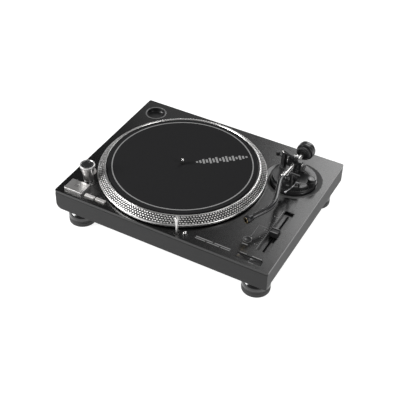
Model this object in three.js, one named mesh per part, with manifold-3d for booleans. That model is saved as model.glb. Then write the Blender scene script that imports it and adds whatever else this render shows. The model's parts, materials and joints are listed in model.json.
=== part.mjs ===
// Direct-drive turntable record player, as an assembly of separate named pieces.
// Millimetres, +Z up, +X to the right and -Y to the user. The origin is on the floor, under the middle
// of the deck. Everything is built in the deck's own frame, whose origin is the front left corner of the
// deck's top, and one group moves that frame onto the part's frame.
import * as THREE from 'three';
import { mergeVertices } from 'three/addons/utils/BufferGeometryUtils.js';
import Module from 'manifold-3d';

const wasm = await Module();
wasm.setup();

// ---- Driving dimensions -------------------------------------------------------------------------

const GAP = 0.3; // clearance between pieces that touch or are let into each other

const DECK = { width: 451.2, depth: 352.6, thickness: 5.5, corner: 3 };
const PLINTH = { inset: 0.5, top: -7.2, lip: -5.8, bottom: -44.5, wall: 4, roundLeft: 12, roundRight: 4.5 };
const FOOT = { inset: 35.5, radius: 27.4, padTop: -70, floor: -84, neck: 13, stud: 4 };

const SPINDLE = { x: 184.4, y: 170.6, radius: 3.6, top: 33 };
const PLATTER = {
  radius: 166, skirt: 2.6, rimTop: 7.1, crownRadius: 150.8, crown: 19.6, seat: 17, seatRadius: 149.2,
};
const MAT = { radius: 147, thickness: 3 };

const ADAPTOR = { x: 36.3, y: 316, radius: 21.4, bore: 19.2, depth: 8.6 };
const TOWER = { x: 38.5, y: 58.5, base: 8.5, top: 14.2, height: 32.5, knob: 38 };
const LAMP = { x: 262.8, y: 11, tip: 38, collar: 6 };
const RELEASE = { x: 277.4, y: 14.8, radius: 3.5, top: 6.6 };
const FADER = {
  x0: 407.8, x1: 427.7, y0: 43.8, y1: 166.2, floor: -5, slotX: 418.4, slot0: 47, slot1: 157, capY: 98,
};
const KEY_POCKET = { x0: 380.8, x1: 431, y0: 10.4, y1: 22.6, depth: 2 };
const QUARTZ = { x: 381.3, y: 60.3, radius: 7 };

const PIVOT = { x: 383, y: 258, height: 41 };
const DISH = { radius: 57, floor: -6.2, bore: 31 };
const ARM = { tilt: 2.75, parked: -4, shaft: 4.2, tube: 5, collar: 6.2 };

const SEGMENTS = { huge: 72, large: 48, medium: 32, small: 16 };

const BUTTONS = {
  start_stop_button: { x: 15, y: 10.5, width: 39.5, length: 30, top: 6, round: 1.5 },
  speed_33_button: { x: 59.4, y: 12.6, width: 21.4, length: 6.8, top: 3, round: 0.8 },
  speed_45_button: { x: 83.6, y: 12.6, width: 21.4, length: 6.8, top: 3, round: 0.8 },
  reverse_button: { x: 382, y: 11.7, width: 23, length: 9.6, top: -0.4, round: 0.8 },
  pitch_range_button: { x: 406.8, y: 11.7, width: 23, length: 9.6, top: -0.4, round: 0.8 },
};
const BUTTON_FOOT = -7.5;
const BUTTON_GAP = 0.5;

// ---- Materials ----------------------------------------------------------------------------------

function finish(colour, roughness, metalness) {
  return () => new THREE.MeshStandardMaterial({ color: colour, roughness, metalness });
}

const deckMetal = finish(0x2a2a2c, 0.45, 0.6);
const plinthPlastic = finish(0x242425, 0.55, 0.1);
const blackPlastic = finish(0x101011, 0.4, 0);
const blackMetal = finish(0x0c0c0d, 0.3, 0.6);
const brightMetal = finish(0xc9cacc, 0.25, 1);
const castAluminium = finish(0x9a9a9c, 0.35, 1);
const rubber = finish(0x151515, 0.8, 0);
const felt = finish(0x1a1a1b, 0.95, 0);
const clearLens = finish(0x702020, 0.1, 0);
const boardGreen = finish(0x1d5a34, 0.6, 0);
const copperCoil = finish(0x8a5a2a, 0.4, 0.8);
const goldContact = finish(0xc8a15a, 0.25, 1);

// ---- Geometry helpers ---------------------------------------------------------------------------

function block(x0, x1, y0, y1, z0, z1) {
  const box = new THREE.BoxGeometry(x1 - x0, y1 - y0, z1 - z0);
  return box.translate((x0 + x1) / 2, (y0 + y1) / 2, (z0 + z1) / 2);
}

function post(x, y, radius, z0, z1, segments = SEGMENTS.small, lowRadius = radius) {
  const cylinder = new THREE.CylinderGeometry(radius, lowRadius, z1 - z0, segments);
  return cylinder.rotateX(Math.PI / 2).translate(x, y, (z0 + z1) / 2);
}

// A profile of [radius, height] points, turned about +Z, that goes round with the solid on its left.
function turned(profile, segments = SEGMENTS.medium, x = 0, y = 0) {
  const points = profile.map(([radius, height]) => new THREE.Vector2(radius, height));
  const lathe = new THREE.LatheGeometry(points, segments);
  return lathe.rotateX(Math.PI / 2).translate(x, y, 0);
}

// The section of a ring or washer, ready for turned().
function ringProfile(inner, outer, low, high) {
  return [[inner, low], [outer, low], [outer, high], [inner, high], [inner, low]];
}

function ring(x, y, inner, outer, low, high, segments = SEGMENTS.medium) {
  return turned(ringProfile(inner, outer, low, high), segments, x, y);
}

function roundedOutline(x0, x1, y0, y1, radius) {
  const shape = new THREE.Shape();
  shape.moveTo(x0 + radius, y0);
  shape.lineTo(x1 - radius, y0);
  shape.absarc(x1 - radius, y0 + radius, radius, -Math.PI / 2, 0);
  shape.lineTo(x1, y1 - radius);
  shape.absarc(x1 - radius, y1 - radius, radius, 0, Math.PI / 2);
  shape.lineTo(x0 + radius, y1);
  shape.absarc(x0 + radius, y1 - radius, radius, Math.PI / 2, Math.PI);
  shape.lineTo(x0, y0 + radius);
  shape.absarc(x0 + radius, y0 + radius, radius, Math.PI, 1.5 * Math.PI);
  return shape;
}

function slab(x0, x1, y0, y1, z0, z1, radius) {
  const shape = roundedOutline(x0, x1, y0, y1, radius);
  const settings = { depth: z1 - z0, bevelEnabled: false, curveSegments: 4 };
  const geometry = new THREE.ExtrudeGeometry(shape, settings);
  return geometry.translate(0, 0, z0);
}

function toSolid(geometry) {
  const bare = geometry.clone();
  bare.deleteAttribute('normal');
  bare.deleteAttribute('uv');
  const merged = mergeVertices(bare, 1e-4);
  const corners = merged.index.array;
  const kept = [];
  for (let i = 0; i < corners.length; i += 3) {
    const [a, b, c] = [corners[i], corners[i + 1], corners[i + 2]];
    if (a !== b && b !== c && a !== c) kept.push(a, b, c);
  }
  const vertProperties = new Float32Array(merged.attributes.position.array);
  const mesh = new wasm.Mesh({ numProp: 3, vertProperties, triVerts: new Uint32Array(kept) });
  return new wasm.Manifold(mesh);
}

function toGeometry(solid) {
  const mesh = solid.getMesh();
  const geometry = new THREE.BufferGeometry();
  geometry.setAttribute('position', new THREE.BufferAttribute(mesh.vertProperties, 3));
  geometry.setIndex(new THREE.BufferAttribute(mesh.triVerts, 1));
  return geometry;
}

// Joins the first list of geometries and cuts the second list out of it.
function carve(joined, removed = []) {
  let solid = toSolid(joined[0]);
  for (const geometry of joined.slice(1)) solid = solid.add(toSolid(geometry));
  for (const geometry of removed) solid = solid.subtract(toSolid(geometry));
  return toGeometry(solid);
}

// ---- Scene graph --------------------------------------------------------------------------------

const turntable = new THREE.Group();
const deck = new THREE.Group();
deck.position.set(-DECK.width / 2, -DECK.depth / 2, -FOOT.floor);
turntable.add(deck);

function addPiece(parent, name, geometry, material) {
  const mesh = new THREE.Mesh(geometry, material());
  mesh.name = name;
  parent.add(mesh);
  return mesh;
}

// ---- Casing -------------------------------------------------------------------------------------

function topPlateCuts() {
  const through = [-DECK.thickness - 1, 1];
  const cuts = Object.entries(BUTTONS).map(([, b]) => block(
    b.x - BUTTON_GAP, b.x + b.width + BUTTON_GAP,
    b.y - BUTTON_GAP, b.y + b.length + BUTTON_GAP, ...through));
  const { x0, x1, y0, y1, depth } = KEY_POCKET;
  cuts.push(block(x0, x1, y0, y1, -depth, 1));
  cuts.push(post(QUARTZ.x, QUARTZ.y, QUARTZ.radius + BUTTON_GAP, ...through));
  cuts.push(block(FADER.x0 - GAP, FADER.x1 + GAP, FADER.y0 - GAP, FADER.y1 + GAP, ...through));
  cuts.push(post(ADAPTOR.x, ADAPTOR.y, ADAPTOR.radius + GAP, ...through, SEGMENTS.medium));
  cuts.push(post(LAMP.x, LAMP.y, LAMP.collar + GAP, ...through));
  cuts.push(post(RELEASE.x, RELEASE.y, RELEASE.radius + BUTTON_GAP, ...through));
  cuts.push(post(PIVOT.x, PIVOT.y, DISH.radius + GAP, ...through, SEGMENTS.large));
  cuts.push(post(SPINDLE.x, SPINDLE.y, 64, ...through, SEGMENTS.large));
  return cuts;
}

function addTopPlate() {
  const plate = slab(0, DECK.width, 0, DECK.depth, -DECK.thickness, 0, DECK.corner);
  addPiece(deck, 'top_plate', carve([plate], topPlateCuts()), deckMetal);
}

// The front view of the plinth: straight sides, and a rounded lower edge along the left and the right.
function plinthEndProfile() {
  const { inset, top, bottom, roundLeft, roundRight } = PLINTH;
  const right = DECK.width - inset;
  const shape = new THREE.Shape();
  shape.moveTo(inset, top);
  shape.lineTo(inset, bottom + roundLeft);
  shape.absarc(inset + roundLeft, bottom + roundLeft, roundLeft, Math.PI, 1.5 * Math.PI);
  shape.lineTo(right - roundRight, bottom);
  shape.absarc(right - roundRight, bottom + roundRight, roundRight, -Math.PI / 2, 0);
  shape.lineTo(right, top);
  return shape;
}

function plinthBody() {
  const { inset, wall, lip, bottom } = PLINTH;
  const outline = new THREE.ExtrudeGeometry(plinthEndProfile(), {
    depth: DECK.depth - 2 * inset, bevelEnabled: false, curveSegments: 6,
  });
  outline.rotateX(Math.PI / 2).translate(0, DECK.depth - inset, 0);
  const step = inset + 2.5;
  const locatingLip = block(step, DECK.width - step, step, DECK.depth - step, bottom + 8, lip);
  const hollow = block(inset + wall, DECK.width - inset - wall, inset + wall, DECK.depth - inset - wall,
    bottom + 3.2, 1);
  return toSolid(outline).add(toSolid(locatingLip)).subtract(toSolid(hollow));
}

const COVER = { x0: 75, x1: 376.2, y0: 20, y1: 332.6 };
const REAR = { x0: 146, x1: 304, low: -40, high: -10, depth: 17 };

const FEET = {
  front_left: [FOOT.inset, FOOT.inset],
  front_right: [DECK.width - FOOT.inset, FOOT.inset],
  back_left: [FOOT.inset, DECK.depth - FOOT.inset],
  back_right: [DECK.width - FOOT.inset, DECK.depth - FOOT.inset],
};

function addPlinth() {
  let solid = plinthBody();
  for (const [x, y] of Object.values(FEET)) {
    solid = solid.add(toSolid(post(x, y, 9, PLINTH.bottom + 2, -20)));
    solid = solid.subtract(toSolid(post(x, y, FOOT.stud + 0.5, PLINTH.bottom - 1, -21.5)));
  }
  const coverHole = block(COVER.x0, COVER.x1, COVER.y0, COVER.y1, PLINTH.bottom - 1, PLINTH.bottom + 5);
  const window = block(
    REAR.x0 + 2, REAR.x1 - 2, DECK.depth - 8, DECK.depth + 1, REAR.low + 2, REAR.high - 2);
  solid = solid.subtract(toSolid(coverHole)).subtract(toSolid(window));
  addPiece(deck, 'plinth', toGeometry(solid), plinthPlastic);
  const cover = slab(COVER.x0 + GAP, COVER.x1 - GAP, COVER.y0 + GAP, COVER.y1 - GAP,
    PLINTH.bottom, PLINTH.bottom + 2.5, 4);
  addPiece(deck, 'bottom_cover', cover, blackMetal);
}

function addFeet() {
  const { radius, padTop, floor, neck, stud } = FOOT;
  const top = PLINTH.bottom - 0.6;
  const housing = [
    [0, padTop + GAP], [radius, padTop + GAP], [radius, padTop + 4.5], [radius - 1.8, padTop + 9.5],
    [radius - 6, padTop + 14], [radius - 11, padTop + 17], [neck, padTop + 19], [neck, top],
    [stud, top], [stud, top + 20], [0, top + 20],
  ];
  const pad = [
    [0, floor], [radius - 1.2, floor], [radius - 0.2, floor + 1],
    [radius - 0.2, padTop], [0, padTop],
  ];
  for (const [place, [x, y]] of Object.entries(FEET)) {
    addPiece(deck, `foot_housing_${place}`, turned(housing, SEGMENTS.medium, x, y), blackPlastic);
    addPiece(deck, `foot_pad_${place}`, turned(pad, SEGMENTS.medium, x, y), rubber);
  }
}

// ---- Platter and motor --------------------------------------------------------------------------

function addPlatter() {
  const { radius, skirt, rimTop, crownRadius, crown, seat, seatRadius } = PLATTER;
  const hub = SPINDLE.radius + GAP;
  const platter = [
    [hub, seat - 7], [20, seat - 7], [22, seat - 3.5], [144, seat - 3.5], [152, 8], [157, skirt + 2],
    [161, skirt],
    [radius, skirt], [radius, rimTop], [radius - 1.6, rimTop + 1], [crownRadius + 2, crown - 0.4],
    [crownRadius + 1, crown], [crownRadius - 0.6, crown], [seatRadius, crown - 1.4], [seatRadius, seat],
    [hub, seat], [hub, seat - 7],
  ];
  const spindle = [
    [0, -26], [SPINDLE.radius, -26], [SPINDLE.radius, SPINDLE.top - 6], [2.9, SPINDLE.top - 2.5],
    [1.6, SPINDLE.top - 0.5], [0, SPINDLE.top],
  ];
  const { x, y } = SPINDLE;
  addPiece(deck, 'platter', turned(platter, SEGMENTS.huge, x, y), castAluminium);
  const mat = ring(x, y, hub, MAT.radius, seat + GAP, seat + MAT.thickness + GAP, SEGMENTS.huge);
  addPiece(deck, 'slipmat', mat, felt);
  addPiece(deck, 'spindle', turned(spindle, SEGMENTS.small, x, y), brightMetal);
  addPiece(deck, 'rotor_magnet', ring(x, y, 40, 58, 2, seat - 3.5 - GAP, SEGMENTS.large), blackMetal);
}

function addMotor() {
  const { x, y } = SPINDLE;
  const bearing = [
    [SPINDLE.radius + GAP, -24], [12, -24], [12, -6], [18, -6], [18, -3], [10, -3], [10, 7],
    [SPINDLE.radius + GAP, 7], [SPINDLE.radius + GAP, -24],
  ];
  const stator = [
    [18.4, -8], [70, -8], [70, -6], [36, -6], [36, 8], [18.4, 8], [18.4, -8],
  ];
  addPiece(deck, 'bearing_housing', turned(bearing, SEGMENTS.medium, x, y), brightMetal);
  addPiece(deck, 'motor_stator', turned(stator, SEGMENTS.large, x, y), copperCoil);
}

function addElectronics() {
  addPiece(deck, 'main_board', block(90, 250, 20, 95, -30, -28.4), boardGreen);
  addPiece(deck, 'power_supply', block(290, 400, 190, 270, -41, -19), brightMetal);
}

// ---- Deck controls ------------------------------------------------------------------------------

function addButtons() {
  for (const [name, b] of Object.entries(BUTTONS)) {
    const cap = slab(b.x, b.x + b.width, b.y, b.y + b.length, BUTTON_FOOT, b.top, b.round);
    addPiece(deck, name, cap, b.top > 0 ? brightMetal : blackPlastic);
  }
  const quartz = [
    [0, BUTTON_FOOT], [QUARTZ.radius, BUTTON_FOOT], [QUARTZ.radius, 0.8],
    [QUARTZ.radius - 0.7, 1.4], [0, 1.4],
  ];
  addPiece(deck, 'quartz_button', turned(quartz, SEGMENTS.small, QUARTZ.x, QUARTZ.y), blackPlastic);
}

function addTargetLamp() {
  const { x, y, tip } = LAMP;
  const stem = [
    [0, -7], [4.6, -7], [4.6, -4.5], [1.7, -4], [1.7, 1], [2.3, 8], [4.2, tip - 9], [4.2, tip - 1],
    [3.4, tip], [0, tip],
  ];
  const head = carve([turned(stem, SEGMENTS.small)], [block(0.4, 6, -1.9, 1.9, tip - 6, tip + 1)]);
  addPiece(deck, 'target_lamp', head.translate(x, y, 0), brightMetal);
  const lens = block(0.7, 3.6, -1.6, 1.6, tip - 5.7, tip - 1.2);
  addPiece(deck, 'target_lamp_lens', lens.translate(x, y, 0), clearLens);
  addPiece(deck, 'target_lamp_sleeve', ring(x, y, 5, LAMP.collar, -41, 0.4, SEGMENTS.small), blackPlastic);
  const { radius, top } = RELEASE;
  const button = [
    [0, BUTTON_FOOT], [radius, BUTTON_FOOT], [radius, top - 2.4], [radius - 1.2, top - 0.5], [0, top],
  ];
  addPiece(deck, 'lamp_release_button', turned(button, SEGMENTS.small, RELEASE.x, RELEASE.y), brightMetal);
}

function addAdaptorWell() {
  const { x, y, radius, bore, depth } = ADAPTOR;
  const cup = [
    [0, -depth - 1.6], [radius, -depth - 1.6], [radius, 0.5], [bore, 0.5], [bore, -depth], [0, -depth],
  ];
  addPiece(deck, 'adaptor_well', turned(cup, SEGMENTS.medium, x, y), blackMetal);
}

function addPitchFader() {
  const { x0, x1, y0, y1, floor, slotX, slot0, slot1, capY } = FADER;
  const tray = carve([block(x0, x1, y0, y1, floor - 1.2, 0)], [
    block(x0 + 0.9, x1 - 0.9, y0 + 0.9, y1 - 0.9, floor, 1),
    block(slotX - 1.4, slotX + 1.4, slot0, slot1, floor - 3, 1),
  ]);
  addPiece(deck, 'fader_tray', tray, deckMetal);
  const track = carve([block(slotX - 5, slotX + 5, slot0 - 4, slot1 + 4, floor - 13, floor - 1.5)], [
    block(slotX - 2, slotX + 2, slot0 - 1, slot1 + 1, floor - 11, floor),
  ]);
  addPiece(deck, 'fader_track', track, brightMetal);
  const cap = [block(slotX - 8.3, slotX + 7.7, capY - 7.5, capY + 7.5, floor + 1.6, 8)];
  cap.push(block(slotX - 1, slotX + 1, capY - 3, capY + 3, floor - 6, floor + 2));
  addPiece(deck, 'fader_cap', carve(cap), blackPlastic);
}

function addStrobeTower() {
  const { x, y, base, top, height, knob } = TOWER;
  const body = [
    [0, GAP], [base + 1.5, GAP], [base + 1.5, 2], [base, 2.6], [top, height], [0, height],
  ];
  // The lamp window faces the platter, at 45 degrees between +X and +Y.
  const window = block(4.5, 20, -7, 7, 9, 27).rotateZ(Math.PI / 4);
  const tower = carve([turned(body, SEGMENTS.medium)], [window]);
  addPiece(deck, 'strobe_tower', tower.translate(x, y, 0), brightMetal);
  const bulge = carve([block(4.9, 13.5, -6.6, 6.6, 9.4, 26.6)], [
    block(11, 20, -8, 8, 20, 30).rotateY(0.35),
  ]);
  addPiece(deck, 'strobe_lens', bulge.rotateZ(Math.PI / 4).translate(x, y, 0), clearLens);
  const knobProfile = [
    [0, height + GAP], [top + 0.2, height + GAP], [top + 0.6, knob - 1], [top - 0.4, knob], [12.4, knob],
    [12.2, knob - 0.6], [0, knob - 0.6],
  ];
  addPiece(deck, 'power_knob', turned(knobProfile, SEGMENTS.medium, x, y), blackMetal);
}

// ---- Back connectors ----------------------------------------------------------------------------

function addBackPanel() {
  const back = DECK.depth;
  const { x0, x1, low, high, depth } = REAR;
  const inside = back - PLINTH.inset - PLINTH.wall - GAP;
  const face = back - depth + 2;
  const holes = [
    block(x0 + 2, x1 - 2, face, back, low + 2, high - 2),
    block(x0 + 9.7, x0 + 35.3, face - 4, back, -34.3, -15.7),
    block(x1 - 43.3, x1 - 12.7, face - 4, back, -31.3, -18.7),
  ];
  const tray = carve([block(x0, x1, back - depth, inside, low, high)], holes);
  addPiece(deck, 'back_panel', tray, blackPlastic);
  addMainsInlet(x0 + 22.5, face);
  addOutputSockets(x1 - 28, face);
  addGroundPost(x1 - 58, face);
  const lever = block(x0 + 62, x0 + 65, face + GAP, face + 4, -26.5, -23.5);
  addPiece(deck, 'output_switch', lever, blackPlastic);
}

function addMainsInlet(x, face) {
  const z = -25;
  const pins = [[-7, -1.5], [0, 2.5], [7, -1.5]];
  const body = [block(x - 12.4, x + 12.4, face - 20, face + 1, z - 9, z + 9)];
  const shell = carve(body, [block(x - 11, x + 11, face - 18, face + 2, z - 7.6, z + 7.6)]);
  let solid = toSolid(shell);
  for (const [dx, dz] of pins) {
    solid = solid.add(toSolid(block(x + dx - 1, x + dx + 1, face - 19, face - 3, z + dz - 2, z + dz + 2)));
  }
  addPiece(deck, 'mains_inlet', toGeometry(solid), blackPlastic);
}

function addOutputSockets(x, face) {
  const z = -25;
  const joined = [block(x - 15, x + 15, face - 8, face + 1, z - 6, z + 6)];
  const removed = [];
  for (const side of [-7.5, 7.5]) {
    const barrel = new THREE.CylinderGeometry(4.15, 4.15, 12, SEGMENTS.small);
    joined.push(barrel.translate(x + side, face + 4, z));
    const bore = new THREE.CylinderGeometry(1.7, 1.7, 14, 12);
    removed.push(bore.translate(x + side, face + 5, z));
  }
  addPiece(deck, 'output_sockets', carve(joined, removed), brightMetal);
}

function addGroundPost(x, face) {
  const profile = [[0, 0], [2, 0], [2, 3], [4.6, 3], [4.6, 8.5], [2, 8.5], [2, 10], [0, 10]];
  const nut = new THREE.LatheGeometry(profile.map(([r, h]) => new THREE.Vector2(r, h)), SEGMENTS.small);
  addPiece(deck, 'ground_nut', nut.translate(x, face + GAP, -25), brightMetal);
}

// ---- Tonearm base -------------------------------------------------------------------------------

function pivotGroup(height = 0) {
  const group = new THREE.Group();
  group.position.set(PIVOT.x, PIVOT.y, height);
  deck.add(group);
  return group;
}

function addArmDish() {
  const { radius, floor, bore } = DISH;
  const dish = [
    [bore + 1, floor - 1.8], [radius, floor - 1.8], [radius, 0], [radius - 1.2, 0], [radius - 8.6, floor],
    [bore + 1, floor], [bore + 1, floor - 1.8],
  ];
  addPiece(pivotGroup(), 'arm_dish', turned(dish, SEGMENTS.large), deckMetal);
}

const BASE = { ringRadius: 46, ringTop: 7, discRadius: 42, discTop: 13, boreGap: 0.4 };
const SKATE = { x: 39, y: -4.5, radius: 11, knob: 8.2, top: 22 };
const LIFT = { radius: 28, angle: -63, cylinder: 4.2, stem: 1.9 };
const LOCK = { x: -26, y: 25, knobX: -47.5, knobY: 26.5, knobHeight: 31 };

function addHeightRing() {
  const { ringRadius, ringTop } = BASE;
  const low = DISH.floor + GAP;
  const profile = [
    [DISH.bore, low], [ringRadius - 1, low], [ringRadius, low + 1], [ringRadius, ringTop - 1.2],
    [ringRadius - 1.2, ringTop], [DISH.bore, ringTop], [DISH.bore, low],
  ];
  addPiece(pivotGroup(), 'height_ring', turned(profile, SEGMENTS.large), blackMetal);
}

function addArmBase() {
  const group = pivotGroup();
  const { ringTop, discRadius, discTop } = BASE;
  const low = ringTop + GAP;
  const liftAngle = THREE.MathUtils.degToRad(LIFT.angle);
  const liftX = LIFT.radius * Math.cos(liftAngle);
  const liftY = LIFT.radius * Math.sin(liftAngle);
  const joined = [
    post(0, 0, discRadius, low, discTop, SEGMENTS.large),
    post(0, 0, DISH.bore - BASE.boreGap, -16, low + 1, SEGMENTS.large),
    post(SKATE.x, SKATE.y, SKATE.radius, low, discTop + 1),
    post(liftX, liftY, LIFT.cylinder, discTop - 1, 24),
    block(CUE.x + 6.4, CUE.x + 8.6, CUE.y - 3, CUE.y + 3, discTop - 1, CUE.height + 3),
  ];
  const removed = [
    block(8, 60, 13, 60, low - 1, discTop + 5),
    post(0, 0, 26, -17, discTop - 4, SEGMENTS.medium),
    post(liftX, liftY, LIFT.stem + GAP, discTop - 2, 30, 16),
  ];
  addPiece(group, 'arm_base', carve(joined, removed), blackMetal);
  addArmRest(group);
  const bar = arcBar(LIFT.radius, 4, -128, -55, 26.6, 28.6);
  const lifter = carve([bar, post(liftX, liftY, LIFT.stem, discTop - 1, 27.6, 16)]);
  addPiece(group, 'lifter_bar', lifter, blackMetal);
  const dial = [
    [0, discTop + 1 + GAP], [SKATE.knob, discTop + 1 + GAP], [SKATE.knob, SKATE.top - 1],
    [SKATE.knob - 1, SKATE.top], [SKATE.knob - 2.2, SKATE.top], [SKATE.knob - 2.8, SKATE.top - 1],
    [0, SKATE.top - 1],
  ];
  addPiece(group, 'anti_skate_dial', turned(dial, SEGMENTS.small, SKATE.x, SKATE.y), blackPlastic);
  addHeightLock(group);
  addCueLever(group);
}

// A flat bar bent round the pivot, between two angles in degrees.
function arcBar(radius, width, from, to, low, high) {
  const start = THREE.MathUtils.degToRad(from);
  const end = THREE.MathUtils.degToRad(to);
  const shape = new THREE.Shape();
  shape.absarc(0, 0, radius + width / 2, start, end, false);
  shape.absarc(0, 0, radius - width / 2, end, start, true);
  const settings = { depth: high - low, bevelEnabled: false, curveSegments: 14 };
  const bar = new THREE.ExtrudeGeometry(shape, settings);
  return bar.translate(0, 0, low);
}

const REST = { y: -41, saddle: 31.8, left: -9.5, right: 12.5, wall: 8.2, top: 46 };
const CLIP = { hingeX: 10.4, hingeZ: 48.2, tail: 1.6, reach: 17 };

function addArmRest(group) {
  const { y, saddle, left, right, wall, top } = REST;
  const low = BASE.discTop + GAP;
  const joined = [
    block(wall, right, y - 2.6, y + 2.6, 24, top),
    block(CLIP.hingeX - 1.2, CLIP.hingeX + 1.2, y - 2.6, y - 1.7, top - 1, CLIP.hingeZ + 1.2),
    block(CLIP.hingeX - 1.2, CLIP.hingeX + 1.2, y + 1.7, y + 2.6, top - 1, CLIP.hingeZ + 1.2),
    block(left, right, y - 2.6, y + 2.6, saddle - 4, saddle),
    block(left, left + 2, y - 2.6, y + 2.6, saddle - 1, saddle + 0.6),
    block(7.5, right, y, y + 9, low, 26),
  ];
  addPiece(group, 'arm_rest', carve(joined), blackPlastic);
  // The clip is open, turned right over to the outside of the rest.
  const { hingeX, hingeZ, tail, reach } = CLIP;
  const clip = block(hingeX - tail, hingeX + reach, y - 1.4, y + 1.4, hingeZ - 1.1, hingeZ + 1.1);
  addPiece(group, 'rest_clip', clip, blackPlastic);
}

function addHeightLock(group) {
  const { x, y, knobX, knobY, knobHeight } = LOCK;
  const low = BASE.discTop + GAP;
  const start = new THREE.Vector3(x, y, low + 5);
  const end = new THREE.Vector3(knobX, knobY, knobHeight - 2);
  const route = new THREE.LineCurve3(start, end);
  const section = new THREE.Shape().absarc(0, 0, 1.6, 0, 2 * Math.PI);
  const rod = new THREE.ExtrudeGeometry(section, { steps: 1, curveSegments: 5, extrudePath: route });
  const joined = [post(x, y, 5, low, low + 7), rod, post(knobX, knobY, 4.8, knobHeight - 5, knobHeight + 3)];
  addPiece(group, 'height_lock_lever', carve(joined), blackPlastic);
}

const CUE = { x: 17, y: -32, height: 21 };

function addCueLever(group) {
  const route = new THREE.CatmullRomCurve3([
    new THREE.Vector3(CUE.x, CUE.y, CUE.height),
    new THREE.Vector3(CUE.x + 1.5, CUE.y - 14, CUE.height + 4),
    new THREE.Vector3(CUE.x - 0.5, CUE.y - 26, CUE.height + 4),
    new THREE.Vector3(CUE.x - 5, CUE.y - 35, CUE.height + 2),
  ]);
  const section = new THREE.Shape().absarc(0, 0, 1.3, 0, 2 * Math.PI);
  const lever = new THREE.ExtrudeGeometry(section, { steps: 12, curveSegments: 4, extrudePath: route });
  const hub = new THREE.CylinderGeometry(3, 3, 7, SEGMENTS.small).rotateZ(Math.PI / 2);
  const joined = [hub.translate(CUE.x + 2.6, CUE.y, CUE.height), lever];
  addPiece(group, 'cue_lever', carve(joined), brightMetal);
}

// ---- Bearing bracket, gimbal and arm ------------------------------------------------------------

const BRACKET = { turn: -21, left: -33.5, right: 4.2, postWidth: 8.5, depth: 8.5, barLow: 51, top: 57 };

function addBracket() {
  const group = pivotGroup();
  group.rotation.z = THREE.MathUtils.degToRad(BRACKET.turn);
  const { left, right, postWidth, depth, barLow, top } = BRACKET;
  const low = BASE.discTop + GAP;
  const joined = [
    block(left, left + postWidth, -depth / 2, depth / 2, low, top),
    block(left, right, -depth / 2, depth / 2, barLow, top),
    block(left, 11, -depth / 2 - 3, depth / 2 + 3, low, low + 4),
    post(0, 0, 7, low, 24.5),
    post(0, 0, 4, top - 1, top + 2),
  ];
  addPiece(group, 'bearing_bracket', carve(joined), blackMetal);
}

function addGimbal(swing) {
  const half = 14.5;
  const frame = carve([block(-half, half, -4, 4, -10, 8)], [block(-9.5, 9.5, -6, 6, -7, 6.5)]);
  const pins = carve([frame, post(0, 0, 3, -16, -9, 16), post(0, 0, 3, 7, 9.7, 16)]);
  addPiece(swing, 'gimbal_ring', pins, blackMetal);
}

// The centreline of the S-shaped tube, in the arm's own frame: straight, a slight bend out, straight, then
// the bend that sets the head at its offset angle.
const TUBE = {
  start: -50.6, firstTurn: 21.25, firstRadius: 50, straight: 38,
  secondTurn: 43.4, secondRadius: 58, end: 28.6,
};

function tubeRoute() {
  const points = [];
  let [x, y, heading] = [0, TUBE.start, 0];
  const advance = (length, turn, steps) => {
    for (let i = 0; i < steps; i += 1) {
      heading += turn / steps / 2;
      x += Math.sin(heading) * length / steps;
      y -= Math.cos(heading) * length / steps;
      heading += turn / steps / 2;
      points.push(new THREE.Vector3(x, y, 0));
    }
  };
  points.push(new THREE.Vector3(x, y, 0));
  const first = THREE.MathUtils.degToRad(TUBE.firstTurn);
  const second = THREE.MathUtils.degToRad(-TUBE.secondTurn);
  advance(TUBE.firstRadius * first, first, 4);
  advance(TUBE.straight, 0, 1);
  advance(-TUBE.secondRadius * second, second, 8);
  advance(TUBE.end, 0, 1);
  return { points, x, y, heading };
}

function addArmTube(arm) {
  const route = tubeRoute();
  const section = new THREE.Shape().absarc(0, 0, ARM.tube, 0, 2 * Math.PI);
  const smooth = new THREE.CatmullRomCurve3(route.points, false, 'centripetal');
  const tube = new THREE.ExtrudeGeometry(section, { steps: 34, curveSegments: 8, extrudePath: smooth });
  addPiece(arm, 'arm_tube', tube, blackMetal);
  return route;
}

function alongArm(profile, segments) {
  const points = profile.map(([radius, y]) => new THREE.Vector2(radius, y));
  return new THREE.LatheGeometry(points, segments);
}

function addHead(arm, route) {
  const head = new THREE.Group();
  head.position.set(route.x, route.y, 0);
  head.rotation.z = route.heading;
  arm.add(head);
  const nut = [
    [4.6, -15], [6.8, -15], [7.3, -14], [7.3, -5], [6.4, -GAP], [4.6, -GAP], [4.6, -15],
  ];
  addPiece(head, 'locking_collar', alongArm(nut, SEGMENTS.small), blackMetal);
  const contacts = [[0, -8], [4.2, -8], [4.2, -GAP], [0, -GAP]];
  addPiece(head, 'contact_block', alongArm(contacts, SEGMENTS.small), goldContact);
}

function addCounterweight(arm) {
  const inner = 8.2;
  const sleeve = [[4.7, 31.5], [inner - GAP, 31.5], [inner - GAP, 55], [4.7, 55], [4.7, 31.5]];
  const dial = [
    [inner, 31], [13.6, 31], [14.4, 31.8], [14.4, 37.2], [inner, 37.2], [inner, 31],
  ];
  const weight = [
    [inner, 37.6], [16.4, 37.6], [17.6, 38.8], [17.6, 54], [16, 56], [inner, 56], [inner, 37.6],
  ];
  addPiece(arm, 'weight_sleeve', alongArm(sleeve, SEGMENTS.small), rubber);
  addPiece(arm, 'tracking_force_dial', alongArm(dial, SEGMENTS.medium), blackPlastic);
  addPiece(arm, 'counterweight', alongArm(weight, SEGMENTS.medium), blackMetal);
}

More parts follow.
